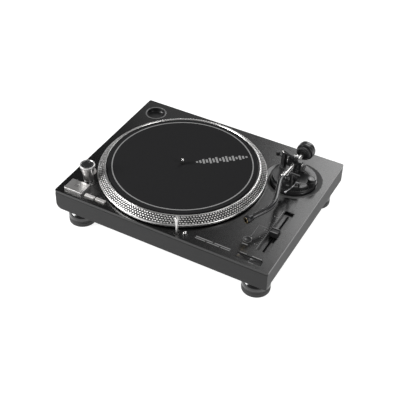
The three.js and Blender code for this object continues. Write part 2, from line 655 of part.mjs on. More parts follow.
function addArm() {
  const swing = pivotGroup(PIVOT.height);
  swing.rotation.z = THREE.MathUtils.degToRad(ARM.parked);
  addGimbal(swing);
  const arm = new THREE.Group();
  arm.rotation.x = THREE.MathUtils.degToRad(ARM.tilt);
  swing.add(arm);
  const { shaft, collar } = ARM;
  const bored = new THREE.CylinderGeometry(shaft + GAP, shaft + GAP, 40, SEGMENTS.small);
  const housing = carve([block(-7, 7, -7.5, 7.5, -6, 5.6), post(0, 0, 1, -1, 1, 8)], [bored]);
  const pins = carve([
    housing, block(-9.2, -6.5, -1.6, 1.6, -1.6, 1.6), block(6.5, 9.2, -1.6, 1.6, -1.6, 1.6)]);
  addPiece(arm, 'pivot_housing', pins, blackMetal);
  const rod = [
    [0, -50], [collar, -50], [collar, -35.5], [shaft, -33.5], [shaft, 58], [0, 58],
  ];
  addPiece(arm, 'arm_shaft', alongArm(rod, SEGMENTS.small), brightMetal);
  const route = addArmTube(arm);
  addHead(arm, route);
  addCounterweight(arm);
}

addTopPlate();
addPlinth();
addFeet();
addPlatter();
addMotor();
addElectronics();
addButtons();
addTargetLamp();
addAdaptorWell();
addPitchFader();
addStrobeTower();
addBackPanel();
addArmDish();
addHeightRing();
addArmBase();
addBracket();
addArm();

export default turntable;
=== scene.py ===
import json
import math

import bpy
from bpy.props import FloatProperty, FloatVectorProperty, IntProperty, PointerProperty
from bpy.types import Operator, Panel, PropertyGroup
from mathutils import Euler, Matrix, Vector

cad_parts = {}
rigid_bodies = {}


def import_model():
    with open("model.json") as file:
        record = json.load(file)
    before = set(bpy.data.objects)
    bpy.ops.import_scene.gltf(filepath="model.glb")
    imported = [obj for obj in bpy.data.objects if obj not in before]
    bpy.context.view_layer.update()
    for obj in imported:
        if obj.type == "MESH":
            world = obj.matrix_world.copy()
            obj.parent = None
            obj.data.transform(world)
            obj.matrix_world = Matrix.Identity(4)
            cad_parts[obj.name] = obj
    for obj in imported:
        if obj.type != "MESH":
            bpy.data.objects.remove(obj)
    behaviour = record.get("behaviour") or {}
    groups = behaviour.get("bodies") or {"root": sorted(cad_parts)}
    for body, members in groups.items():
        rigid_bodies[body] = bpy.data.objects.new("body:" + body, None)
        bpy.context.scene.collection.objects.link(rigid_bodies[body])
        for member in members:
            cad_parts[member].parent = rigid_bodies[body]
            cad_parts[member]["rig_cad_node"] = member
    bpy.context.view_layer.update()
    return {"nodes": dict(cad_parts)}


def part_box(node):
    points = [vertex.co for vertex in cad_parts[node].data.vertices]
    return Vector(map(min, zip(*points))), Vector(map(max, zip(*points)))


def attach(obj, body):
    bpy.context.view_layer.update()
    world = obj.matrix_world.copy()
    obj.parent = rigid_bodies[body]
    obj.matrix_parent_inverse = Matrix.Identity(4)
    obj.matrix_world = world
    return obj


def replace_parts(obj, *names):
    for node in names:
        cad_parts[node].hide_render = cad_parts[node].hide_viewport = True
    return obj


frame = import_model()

bl_info = {
    "name": "Turntable record player",
    "version": (1, 0, 0),
    "blender": (4, 5, 0),
    "location": "View3D > Sidebar > Turntable",
    "description": "Builds the looks of a direct-drive turntable around its packed frame",
    "category": "Object",
}

# ---- Places --------------------------------------------------------------------------------------

MM = 0.001
PLATE_LOW, PLATE_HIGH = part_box("top_plate")

# Millimetres from the front left corner of the deck's top: x to the right, y to the back, z up.
DECK_SIZE = (451.2, 352.6)
FOOT_INSET = 35.5
SPINDLE = (184.4, 170.6)
TOWER = (38.5, 58.5)
LAMP = (262.8, 11.0)
RELEASE = (277.4, 14.8)
ADAPTOR = (36.3, 316.0)
PIVOT = (383.0, 258.0, 41.0)
ANTI_SKATE = (PIVOT[0] + 39, PIVOT[1] - 4.5)
BRACKET_TURN = -21.0
QUARTZ = (381.3, 60.3)
FADER_X = 418.4
FADER_Y = 98.0
ARM_TILT = 2.75
ARM_PARKED = -4.0
MAT_TOP = 20.3
MAT_RADIUS = 147.0
REAR_FACE = 337.6
SOCKET_LEVEL = -25.0
COVER_FACE = -44.5
PRINT_HEIGHT = 0.05
NUMERAL_SIZE = 4.2


def at(x, y, z=0.0):
    """A point of the deck, in the frame's metres."""
    return Vector((PLATE_LOW.x + x * MM, PLATE_LOW.y + y * MM, PLATE_HIGH.z + z * MM))


def shift(x, y, z):
    """A move by millimetres."""
    return Matrix.Translation(Vector((x, y, z)) * MM)


def rotation(degrees, axis="Z"):
    return Matrix.Rotation(math.radians(degrees), 4, axis)


def stand(x, y, z=0.0, turn=0.0):
    """A frame that stands on the deck, turned about the vertical."""
    return Matrix.Translation(at(x, y, z)) @ rotation(turn)


def off_axis(point, middle=Vector((0, 0, 0))):
    """How far in mm a point is from an upright axis."""
    return math.hypot(point.x - middle.x, point.y - middle.y) / MM


ON_DECK = stand(0, 0)
PRINTED = stand(0, 0, 0.01)
TO_BACK = rotation(-90, "X")
TO_RIGHT = rotation(90, "Y")
ARM = stand(*PIVOT, ARM_PARKED) @ rotation(ARM_TILT, "X")


def tube_route(steps):
    """The centreline of the arm's tube in the arm's own millimetres, and the heading at its end."""
    points, x, y, heading = [(0.0, -50.6)], 0.0, -50.6, 0.0
    # Length and turn in degrees: a bend, a straight, a longer bend back and a straight.
    stretches = [(50 * math.radians(21.25), 21.25), (38, 0), (58 * math.radians(43.4), -43.4), (28.6, 0)]
    for length, turn in stretches:
        for _ in range(steps):
            heading += math.radians(turn) / steps / 2
            x += math.sin(heading) * length / steps
            y -= math.cos(heading) * length / steps
            heading += math.radians(turn) / steps / 2
            points.append((x, y))
    return points, heading


TUBE_POINTS, TUBE_HEADING = tube_route(10)
HEAD = ARM @ shift(*TUBE_POINTS[-1], 0) @ Matrix.Rotation(TUBE_HEADING, 4, "Z")


# ---- Sizes and colours that a user would change --------------------------------------------------

def colour(name, description, value):
    return FloatVectorProperty(name=name, description=description, subtype="COLOR", size=4, min=0, max=1,
                               default=(*value, 1.0))


class TurntableFinish(PropertyGroup):
    deck: colour("Deck", "Powder coat of the deck's top", (0.0018, 0.0018, 0.0019))
    casing: colour("Casing", "Moulded casing under the deck", (0.013, 0.013, 0.0133))
    silver: colour("Silver", "Brushed aluminium of the buttons and the strobe tower", (0.74, 0.73, 0.72))
    felt: colour("Felt", "Wool felt of the slipmat", (0.0125, 0.0125, 0.013))
    ink: colour("Print", "Printed marks on the deck", (0.28, 0.28, 0.28))


class TurntablePlatter(PropertyGroup):
    dots: IntProperty(name="Dots in a row", description="Strobe dots in each row of the rim",
                      default=180, min=60)
    dot_length: FloatProperty(name="Dot length", description="Length of a strobe dot along the rim",
                              default=3.6 * MM, min=1 * MM, unit="LENGTH")
    dot_width: FloatProperty(name="Dot width", description="Width of a strobe dot across the rim",
                             default=2.6 * MM, min=1 * MM, unit="LENGTH")
    ring_radius: FloatProperty(name="Printed ring", description="Radius of the slipmat's printed ring",
                               default=137.4 * MM, min=50 * MM, unit="LENGTH")


class TurntableDetail(PropertyGroup):
    segments: IntProperty(name="Segments", description="Sides of a large round piece", default=96, min=24)


def sides(share=1.0):
    """Sides of a large round piece, as a share of the user's number."""
    return round(bpy.context.scene.turntable_detail.segments * share)


# ---- Modelling -----------------------------------------------------------------------------------

def deselect():
    bpy.ops.object.select_all(action="DESELECT")


def only(obj):
    deselect()
    obj.select_set(True)
    bpy.context.view_layer.objects.active = obj


def named(obj, name):
    obj.name = obj.data.name = name
    return obj


def smooth(obj, angle):
    """Shades flats flat and rounds smooth."""
    only(obj)
    bpy.ops.object.shade_smooth_by_angle(angle=math.radians(angle))
    return obj


def settle(obj, place=None):
    """Puts a piece in its place, and its place in its mesh."""
    only(obj)
    if place is not None:
        obj.matrix_world = place @ obj.matrix_world
    bpy.ops.object.transform_apply(location=True, rotation=True, scale=True)
    return obj


def modify(obj, kind, **settings):
    only(obj)
    modifier = obj.modifiers.new(kind.title(), kind)
    for key, value in settings.items():
        setattr(modifier, key, value)
    bpy.ops.object.modifier_apply(modifier=modifier.name)
    return obj


def soften(obj, width, segments=2, angle=32):
    """Rounds the edges of a piece and shades it."""
    if width:
        modify(obj, "BEVEL", width=width * MM, segments=segments, limit_method="ANGLE",
               angle_limit=math.radians(angle), use_clamp_overlap=True, miter_outer="MITER_ARC")
    smooth(obj, 40)
    return modify(obj, "WEIGHTED_NORMAL", keep_sharp=True)


def edit(obj, select=None):
    """Opens a piece in edit mode with all of it selected, or the faces that select() picks."""
    only(obj)
    bpy.context.tool_settings.mesh_select_mode = (False, False, True)
    if select is not None:
        for group in (obj.data.vertices, obj.data.edges):
            group.foreach_set("select", [False] * len(group))
        for face in obj.data.polygons:
            face.select = bool(select(face))
    bpy.ops.object.mode_set(mode="EDIT")
    if select is None:
        bpy.ops.mesh.select_all(action="SELECT")


def finish_edit(outward=True):
    if outward:
        bpy.ops.mesh.select_all(action="SELECT")
        bpy.ops.mesh.normals_make_consistent(inside=False)
    bpy.ops.object.mode_set(mode="OBJECT")


def lathe(name, section, place, segments, edge, bevel_segments=2):
    """Turns a section of (radius, height) in mm about its axis: a ring is extruded and resized in steps."""
    closed = section[0] == section[-1]
    start = section[0] if section[0][0] > 0 else section[1]
    rest = section[1:] if section[0][0] > 0 else section[2:]
    deselect()
    bpy.ops.mesh.primitive_circle_add(vertices=segments, radius=start[0] * MM, location=(0, 0, start[1] * MM))
    obj = settle(named(bpy.context.object, name))
    bpy.ops.object.mode_set(mode="EDIT")
    bpy.context.tool_settings.mesh_select_mode = (True, False, False)
    bpy.ops.mesh.select_all(action="SELECT")
    radius, height = start
    for r, z in rest:
        bpy.ops.mesh.extrude_region_move(TRANSFORM_OT_translate={"value": (0, 0, (z - height) * MM)})
        if r == 0:
            bpy.ops.mesh.merge(type="CENTER")
            break
        if r != radius:
            bpy.ops.transform.resize(value=(r / radius, r / radius, 1))
        radius, height = r, z
    if closed:
        bpy.ops.mesh.select_all(action="SELECT")
        bpy.ops.mesh.remove_doubles(threshold=1e-6)
    else:
        for _ in range(2):
            bpy.ops.mesh.select_all(action="DESELECT")
            bpy.ops.mesh.select_non_manifold(use_wire=False, use_boundary=True, use_multi_face=False,
                                             use_non_contiguous=False, use_verts=False)
            if obj_has_selection(obj):
                bpy.ops.mesh.edge_face_add()
    finish_edit()
    soften(obj, edge, bevel_segments)
    return settle(obj, place)


def obj_has_selection(obj):
    obj.update_from_editmode()
    return any(v.select for v in obj.data.vertices)


def block(name, low, high, place, edge):
    """A block with rounded edges between two corners in mm."""
    deselect()
    middle = [(a + b) / 2 * MM for a, b in zip(low, high)]
    spans = [(b - a) * MM for a, b in zip(low, high)]
    bpy.ops.mesh.primitive_cube_add(size=1, location=middle, scale=spans)
    obj = settle(named(bpy.context.object, name))
    soften(obj, edge, 3)
    return settle(obj, place)


def refined(name, node, edge, bevel_segments=2, merge_flats=True):
    """A node's own shape with its edges rounded."""
    source = frame["nodes"][node]
    only(source)
    bpy.ops.object.duplicate()
    obj = named(bpy.context.object, name)
    obj.parent = None
    del obj["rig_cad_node"]
    edit(obj)
    bpy.ops.mesh.remove_doubles(threshold=2e-6)
    if merge_flats:
        bpy.ops.mesh.dissolve_limited(angle_limit=math.radians(0.3))
    finish_edit(outward=False)
    only(obj)
    if obj.data.has_custom_normals:
        bpy.ops.mesh.customdata_custom_splitnormals_clear()
    soften(obj, edge, bevel_segments)
    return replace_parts(obj, node)


def press(obj, select, inset, depth):
    """Insets faces one by one, and sinks or raises them."""
    edit(obj, select)
    bpy.ops.mesh.inset(thickness=inset * MM, depth=depth * MM, use_individual=True)
    bpy.ops.object.mode_set(mode="OBJECT")
    return obj


def join(name, pieces):
    deselect()
    for piece in pieces:
        piece.select_set(True)
    bpy.context.view_layer.objects.active = pieces[0]
    bpy.ops.object.join()
    return named(bpy.context.object, name)


def copy_to(obj, name, move):
    only(obj)
    bpy.ops.object.duplicate()
    copy = named(bpy.context.object, name)
    return settle(copy, Matrix.Translation(move))


def cut(obj, cutter):
    modify(obj, "BOOLEAN", operation="DIFFERENCE", object=cutter, solver="EXACT")
    bpy.data.objects.remove(cutter)
    return obj


def around(obj, count, axis_place):
    """Repeats a piece round an axis: the Z axis of the frame given."""
    step = Matrix.Rotation(2 * math.pi / count, 4, "Z")
    deselect()
    bpy.ops.object.empty_add()
    marker = bpy.context.object
    marker.matrix_world = axis_place @ step @ axis_place.inverted()
    bpy.context.view_layer.update()
    modify(obj, "ARRAY", count=count, use_relative_offset=False, use_object_offset=True, offset_object=marker)
    bpy.data.objects.remove(marker)
    return obj


def bars(name, boxes, place, height=PRINT_HEIGHT):
    """Thin printed bars: each is (x0, x1, y0, y1) in mm."""
    return join(name, [block(name, (x0, y0, 0), (x1, y1, height), place, 0) for x0, x1, y0, y1 in boxes])


def numerals(name, words):
    """Numbers printed on the deck: each is (number, x, y) in mm."""
    made = []
    for word, x, y in words:
        deselect()
        bpy.ops.object.text_add(location=(x * MM, y * MM, 0))
        text = bpy.context.object
        text.data.body = word
        text.data.size = NUMERAL_SIZE * MM
        text.data.align_x = text.data.align_y = "CENTER"
        text.data.extrude = PRINT_HEIGHT / 2 * MM
        text.data.resolution_u = 3
        text.location.z = PRINT_HEIGHT / 2 * MM
        bpy.ops.object.convert(target="MESH")
        made.append(settle(bpy.context.object, PRINTED))
    obj = join(name, made)
    edit(obj)
    bpy.ops.mesh.remove_doubles(threshold=1e-6)
    finish_edit(outward=False)
    return obj


def seat(obj, body, finish, *nodes, slot=None):
    """Gives a piece its finish and its body, and says which nodes it stands for."""
    if finish is not None:
        obj.data.materials.clear()
        obj.data.materials.append(material(finish))
    if nodes:
        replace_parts(obj, *nodes)
    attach(obj, body)
    return obj


def paint(obj, finish, wanted):
    """Gives some of a piece's faces a second finish."""
    obj.data.materials.append(material(finish))
    index = len(obj.data.materials) - 1
    for face in obj.data.polygons:
        if wanted(face.center, face.normal):
            face.material_index = index


# ---- Effects that several finishes share ---------------------------------------------------------

def new_group(name, inputs):
    """A group that gives a height for bump and a mask for colour and roughness."""
    group = bpy.data.node_groups.new(name, "ShaderNodeTree")
    group.interface.new_socket("Place", in_out="INPUT", socket_type="NodeSocketVector")
    for label, kind, value in inputs:
        socket = group.interface.new_socket(label, in_out="INPUT", socket_type=kind)
        socket.default_value = value
    for label in ("Height", "Mask"):
        group.interface.new_socket(label, in_out="OUTPUT", socket_type="NodeSocketFloat")
    return group, group.nodes.new("NodeGroupInput").outputs, group.nodes.new("NodeGroupOutput").inputs


def noise(group, place, scale, **values):
    """A noise whose scale is a number or another node's output."""
    texture = group.nodes.new("ShaderNodeTexNoise")
    group.links.new(place, texture.inputs["Vector"])
    if isinstance(scale, bpy.types.NodeSocket):
        group.links.new(scale, texture.inputs["Scale"])
    else:
        texture.inputs["Scale"].default_value = scale
    for label, value in values.items():
        texture.inputs[label].default_value = value
    return texture.outputs["Fac"]


def stretched(group, place):
    """Coordinates multiplied axis by axis, and the input that takes the factors."""
    node = group.nodes.new("ShaderNodeVectorMath")
    node.operation = "MULTIPLY"
    group.links.new(place, node.inputs[0])
    return node.outputs["Vector"], node.inputs[1]


def blend(group, first, second):
    """Two values mixed, and the input that takes the share of the second."""
    node = group.nodes.new("ShaderNodeMix")
    group.links.new(first, node.inputs["A"])
    group.links.new(second, node.inputs["B"])
    return node.outputs["Result"], node.inputs["Factor"]


def grain_group(name):
    """Fine grain of a coat or moulding, with soft clouds in its mask."""
    group, given, out = new_group(name, [
        ("Grain Scale", "NodeSocketFloat", 1500.0), ("Cloud Scale", "NodeSocketFloat", 14.0),
        ("Cloud Share", "NodeSocketFloat", 0.5)])
    fine = noise(group, given["Place"], given["Grain Scale"], Detail=3)
    cloud = noise(group, given["Place"], given["Cloud Scale"], Detail=5)
    mask, share = blend(group, fine, cloud)
    group.links.new(given["Cloud Share"], share)
    group.links.new(fine, out["Height"])
    group.links.new(mask, out["Mask"])
    return group


def brush_group(name):
    """Brushing: fine scratches drawn out along the axis whose stretch is smallest."""
    group, given, out = new_group(name, [
        ("Line Scale", "NodeSocketFloat", 900.0), ("Stretch", "NodeSocketVector", (0.02, 1.0, 1.0))])
    drawn, stretch = stretched(group, given["Place"])
    group.links.new(given["Stretch"], stretch)
    lines = noise(group, drawn, given["Line Scale"], Detail=4)
    mask, share = blend(group, lines, noise(group, given["Place"], 60))
    share.default_value = 0.45
    group.links.new(lines, out["Height"])
    group.links.new(mask, out["Mask"])
    return group


def fibre_group(name):
    """Felt: crossed fibres and tufts."""
    group, given, out = new_group(name, [("Fibre Scale", "NodeSocketFloat", 900.0)])
    crossed = group.nodes.new("ShaderNodeMath")
    crossed.operation = "MAXIMUM"
    for i, way in enumerate([(1.0, 0.16, 1.0), (0.16, 1.0, 1.0)]):
        drawn, stretch = stretched(group, given["Place"])
        stretch.default_value = way
        strands = noise(group, drawn, given["Fibre Scale"], Detail=4, Distortion=0.8)
        group.links.new(strands, crossed.inputs[i])
    felted, share = blend(group, crossed.outputs["Value"], noise(group, given["Place"], 260, Detail=3))
    share.default_value = 0.5
    group.links.new(felted, out["Height"])
    group.links.new(felted, out["Mask"])
    return group


EFFECTS = {"grain": grain_group, "brush": brush_group, "fibre": fibre_group}
MASK_SPAN = (0.3, 0.7)
BUMP_STRENGTH = 0.6

# Base colour (or the name of a user's colour), second colour as a share of it, roughness from and to,
# metallic, the effect with its inputs, bump distance in mm, and the shader's uniform values.
FINISHES = {
    "deck_coat": ("deck", 1.5, (0.22, 0.30), 0, "grain", {"Grain Scale": 1900, "Cloud Scale": 9}, 0.02,
                  {"Specular IOR Level": 0.66}),
    "casing_coat": ("casing", 1.4, (0.42, 0.54), 0, "grain", {"Grain Scale": 1300, "Cloud Scale": 11}, 0.035,
                    {"Specular IOR Level": 0.3}),
    # A grey much lighter than the deck's coat: on the arm's dish this lightness is painted sheen, standing in
    # for the light that the dish reflects.
    "dish_coat": ((0.115, 0.115, 0.116), 1.3, (0.30, 0.40), 0, "grain", {"Grain Scale": 1700}, 0.02,
                  {"Specular IOR Level": 0.8}),
    "black_gloss": ((0.010, 0.010, 0.0105), 1.5, (0.26, 0.38), 0, "grain", {"Grain Scale": 500}, 0.01,
                    {"Coat Weight": 0.25, "Coat Roughness": 0.15}),
    "black_satin": ((0.014, 0.014, 0.0145), 1.5, (0.26, 0.40), 0, "grain", {"Grain Scale": 900}, 0.02, {}),
    "black_anodised": ((0.022, 0.022, 0.023), 1.6, (0.20, 0.34), 0.75, "brush",
                       {"Line Scale": 500, "Stretch": (1, 1, 0.05)}, 0.01, {}),
    "arm_black": ((0.035, 0.035, 0.036), 1.5, (0.22, 0.30), 0.6, "grain", {"Grain Scale": 1500}, 0.008,
                  {"Coat Weight": 0.4, "Coat Roughness": 0.12}),
    "foot_gloss": ((0.008, 0.008, 0.0083), 1.8, (0.14, 0.26), 0, "grain", {"Grain Scale": 400}, 0.02,
                   {"Coat Weight": 0.6, "Coat Roughness": 0.1}),
    "rubber": ((0.016, 0.016, 0.016), 1.6, (0.55, 0.75), 0, "grain", {"Grain Scale": 700}, 0.06, {}),
    "chrome": ((0.74, 0.73, 0.72), 0.86, (0.07, 0.17), 1, "grain", {"Grain Scale": 220, "Cloud Scale": 40},
               0.003, {}),
    "rod_metal": ((0.44, 0.435, 0.43), 0.82, (0.18, 0.30), 1, "grain", {"Grain Scale": 500}, 0.004, {}),
    "key_bright": ((0.95, 0.93, 0.91), 0.92, (0.42, 0.56), 1, "brush", {"Line Scale": 900}, 0.012, {}),
    "silver_brushed": ("silver", 0.78, (0.36, 0.52), 1, "brush", {"Line Scale": 900}, 0.012, {}),
    "silver_turned": ("silver", 0.80, (0.30, 0.46), 1, "brush",
                      {"Line Scale": 900, "Stretch": (0.04, 0.04, 1)}, 0.010, {}),
    "rim_machined": ((0.88, 0.87, 0.86), 0.9, (0.24, 0.34), 1, "grain", {"Grain Scale": 900}, 0.006, {}),
    "rim_cast": ((0.012, 0.012, 0.0124), 1.6, (0.34, 0.46), 0, "grain", {"Grain Scale": 600}, 0.03,
                 {"Specular IOR Level": 0.3}),
    "dot_metal": ((0.80, 0.79, 0.78), 0.8, (0.30, 0.44), 1, "grain", {"Grain Scale": 700}, 0.01, {}),
    "mat_felt": ("felt", 1.9, (0.86, 0.98), 0, "fibre", {"Fibre Scale": 1300}, 0.16,
                 {"Specular IOR Level": 0.08}),
    "felt_print": ((0.33, 0.33, 0.33), 0.65, (0.5, 0.7), 0, "fibre", {"Fibre Scale": 1300}, 0.08, {}),
    "ink": ("ink", 0.75, (0.4, 0.55), 0, "grain", {"Grain Scale": 900}, 0.01, {}),
    "slot_black": ((0.004, 0.004, 0.004), 1.5, (0.5, 0.7), 0, "grain", {"Grain Scale": 500}, 0.02, {}),
    # The strobe window's opaque light grey takes the place of its dark clear moulding: a painted reflection
    # of the lights around it.
    "lamp_glass": ((0.55, 0.53, 0.52), 0.85, (0.12, 0.22), 0, "grain", {"Grain Scale": 90}, 0.02,
                   {"Coat Weight": 0.5, "IOR": 1.49}),
    "lamp_white": ((0.72, 0.72, 0.70), 0.9, (0.1, 0.2), 0, "grain", {"Grain Scale": 300}, 0.01,
                   {"Coat Weight": 0.4}),
    "board": ((0.018, 0.09, 0.035), 1.6, (0.35, 0.5), 0, "grain", {"Grain Scale": 300}, 0.05, {}),
    "copper": ((0.60, 0.29, 0.13), 0.7, (0.22, 0.4), 1, "brush", {"Line Scale": 700, "Stretch": (1, 1, 0.1)},
               0.05, {}),
    "zinc": ((0.42, 0.42, 0.43), 0.8, (0.25, 0.4), 1, "grain", {"Grain Scale": 180}, 0.01, {}),
    "gold": ((0.82, 0.62, 0.33), 0.85, (0.12, 0.24), 1, "grain", {"Grain Scale": 300}, 0.004, {}),
    "red_plastic": ((0.36, 0.018, 0.015), 0.8, (0.22, 0.35), 0, "grain", {"Grain Scale": 700}, 0.01, {}),
    "white_plastic": ((0.60, 0.60, 0.58), 0.92, (0.22, 0.35), 0, "grain", {"Grain Scale": 700}, 0.01, {}),
}


def material(name):
    found = bpy.data.materials.get(name)
    if found:
        return found
    base, share, rough, metallic, effect, inputs, bump_depth, uniform = FINISHES[name]
    if isinstance(base, str):
        base = tuple(getattr(bpy.context.scene.turntable_finish, base))[:3]
    made = bpy.data.materials.new(name)
    made.use_nodes = True
    nodes, link = made.node_tree.nodes, made.node_tree.links.new
    shader = nodes["Principled BSDF"]
    place = nodes.new("ShaderNodeTexCoord")
    pattern = nodes.new("ShaderNodeGroup")
    pattern.node_tree = bpy.data.node_groups.get(effect) or EFFECTS[effect](effect)
    for label, value in inputs.items():
        pattern.inputs[label].default_value = value
    colours = nodes.new("ShaderNodeMix")
    colours.data_type = "RGBA"
    colours.inputs["A"].default_value = (*base, 1)
    colours.inputs["B"].default_value = (*[min(1, c * share) for c in base], 1)
    ranged = nodes.new("ShaderNodeMapRange")
    ranged.inputs["From Min"].default_value, ranged.inputs["From Max"].default_value = MASK_SPAN
    ranged.inputs["To Min"].default_value, ranged.inputs["To Max"].default_value = rough
    bump = nodes.new("ShaderNodeBump")
    bump.inputs["Strength"].default_value = BUMP_STRENGTH
    bump.inputs["Distance"].default_value = bump_depth * MM
    link(place.outputs["Object"], pattern.inputs["Place"])
    link(pattern.outputs["Mask"], colours.inputs["Factor"])
    link(pattern.outputs["Mask"], ranged.inputs["Value"])
    link(pattern.outputs["Height"], bump.inputs["Height"])
    link(colours.outputs["Result"], shader.inputs["Base Color"])
    link(ranged.outputs["Result"], shader.inputs["Roughness"])
    link(bump.outputs["Normal"], shader.inputs["Normal"])
    shader.inputs["Metallic"].default_value = metallic
    for label, value in uniform.items():
        shader.inputs[label].default_value = value
    return made


# ---- Casing --------------------------------------------------------------------------------------

FOOT_PLACES = {f"{row}_{side}": (x, y)
               for row, y in (("front", FOOT_INSET), ("back", DECK_SIZE[1] - FOOT_INSET))
               for side, x in (("left", FOOT_INSET), ("right", DECK_SIZE[0] - FOOT_INSET))}
SCREW_COLUMNS = (82, DECK_SIZE[0] / 2, DECK_SIZE[0] - 82)
SCREW_ROWS = (27, DECK_SIZE[1] - 27)


class TURNTABLE_OT_casing(Operator):
    """Build the deck plate, the casing and the cover under it"""
    bl_idname = "turntable.casing"
    bl_label = "Casing"

    def execute(self, context):
        plate = refined("deck_plate", "top_plate", 0.6, 3, merge_flats=False)
        seat(plate, "root", "deck_coat", slot="deck_metal")
        seat(refined("casing", "plinth", 1.0, 3), "root", "casing_coat", slot="plinth_plastic")
        seat(refined("base_cover", "bottom_cover", 0.5), "root", "black_satin", slot="black_metal")
        screws = []
        for x in SCREW_COLUMNS:
            for y in SCREW_ROWS:
                place = stand(x, y, COVER_FACE) @ rotation(180, "X")
                screw = lathe("screw", [(3.6, 0), (3.6, 1.2), (3.0, 1.8), (0, 1.8)], place, 20, 0.2)
                screws.append(cut(screw, block("cross", (-2.2, -0.4, 1), (2.2, 0.4, 3), place, 0)))
        seat(join("cover_screws", screws), "root", "zinc", slot="bright_metal")
        ribs = [(110 + row * 9, 113 + row * 9, 120, 220) for row in range(9)]
        seat(bars("cover_ribs", ribs, stand(0, 0, COVER_FACE - 0.4), 0.5), "root", "black_satin",
             slot="black_metal")
        return {"FINISHED"}


class TURNTABLE_OT_feet(Operator):
    """Build the four round feet with their rubber rings"""
    bl_idname = "turntable.feet"
    bl_label = "Feet"

    def execute(self, context):
        x, y = FOOT_PLACES["front_left"]
        dome = [(25, -69.7), (27.4, -69.7), (27.4, -65.5), (26.9, -63.2), (25.6, -60.6), (23.4, -58.0),
                (20.4, -55.6), (17.0, -53.6), (14.2, -52.2), (13, -50.6), (13, -45.1), (4, -45.1), (4, -26),
                (0, -26)]
        ring = [(0, -84), (26.0, -84), (26.7, -83.6), (27.1, -82.8), (27.2, -80), (27.2, -74.6),
                (26.6, -74.2), (26.6, -73.4), (27.2, -73), (27.2, -70.6), (26.8, -70), (0, -70)]
        first_dome = lathe("foot_dome_front_left", dome, stand(x, y), sides(0.75), 0.5, 3)
        first_ring = lathe("foot_ring_front_left", ring, stand(x, y), sides(0.75), 0.25)
        press(first_ring, lambda f: f.normal.z < -0.9 and f.area > 1e-4, 5, -0.8)
        for place, (px, py) in FOOT_PLACES.items():
            dome_piece, ring_piece = first_dome, first_ring
            if place != "front_left":
                move = Vector(((px - x) * MM, (py - y) * MM, 0))
                dome_piece = copy_to(first_dome, "foot_dome_" + place, move)
                ring_piece = copy_to(first_ring, "foot_ring_" + place, move)
            body = "foot_" + place
            seat(dome_piece, body, "foot_gloss", "foot_housing_" + place, slot="black_plastic")
            seat(ring_piece, body, "rubber", "foot_pad_" + place, slot="foot_rubber")
        return {"FINISHED"}


# ---- Platter -------------------------------------------------------------------------------------

RIM_LOW, RIM_HIGH = (164.4, 8.1), (152.8, 19.2)
DOT_ROWS = 4
# The middle of the slipmat's print, its height and its turn, and the distance between its bars.
MOTIF = (244.7, 220.9, MAT_TOP + 0.02, 39.4)
MOTIF_STEP = 6.6


def strobe_dots(count, length, width):
    """Staggered rows of raised dots on the rim's cone."""
    slope = math.atan2(RIM_HIGH[1] - RIM_LOW[1], RIM_LOW[0] - RIM_HIGH[0])
    dots = []
    for row in range(DOT_ROWS):
        share = (row + 0.5) / DOT_ROWS
        radius = RIM_LOW[0] + (RIM_HIGH[0] - RIM_LOW[0]) * share
        height = RIM_LOW[1] + (RIM_HIGH[1] - RIM_LOW[1]) * share
        deselect()
        bpy.ops.mesh.primitive_cylinder_add(vertices=10, radius=0.5, depth=1)
        dot = bpy.context.object
        dot.scale = (width, length, 0.9 * MM)
        dot = settle(dot)
        edit(dot, lambda f: f.normal.z > 0.9)
        bpy.ops.mesh.inset(thickness=0.35 * MM, depth=0.25 * MM)
        bpy.ops.object.mode_set(mode="OBJECT")
        lean = Matrix.Rotation(math.pi / 2 - slope, 4, "Y")
        turn = Matrix.Rotation(math.pi / count * (row % 2), 4, "Z")
        dots.append(settle(dot, stand(*SPINDLE) @ turn @ shift(radius, 0, height) @ lean))
    return smooth(around(join("strobe_dots", dots), count, stand(*SPINDLE)), 50)


def mat_motif():
    """A plain row of bars of different heights, printed on the slipmat."""
    heights = (5, 9, 14, 10, 17, 12, 18, 8, 15, 18, 11, 16, 7, 13, 9, 5)
    boxes = [(i * MOTIF_STEP - 52, i * MOTIF_STEP - 48, -h / 2, h / 2) for i, h in enumerate(heights)]
    return bars("mat_motif", boxes, stand(*MOTIF), 0.08)


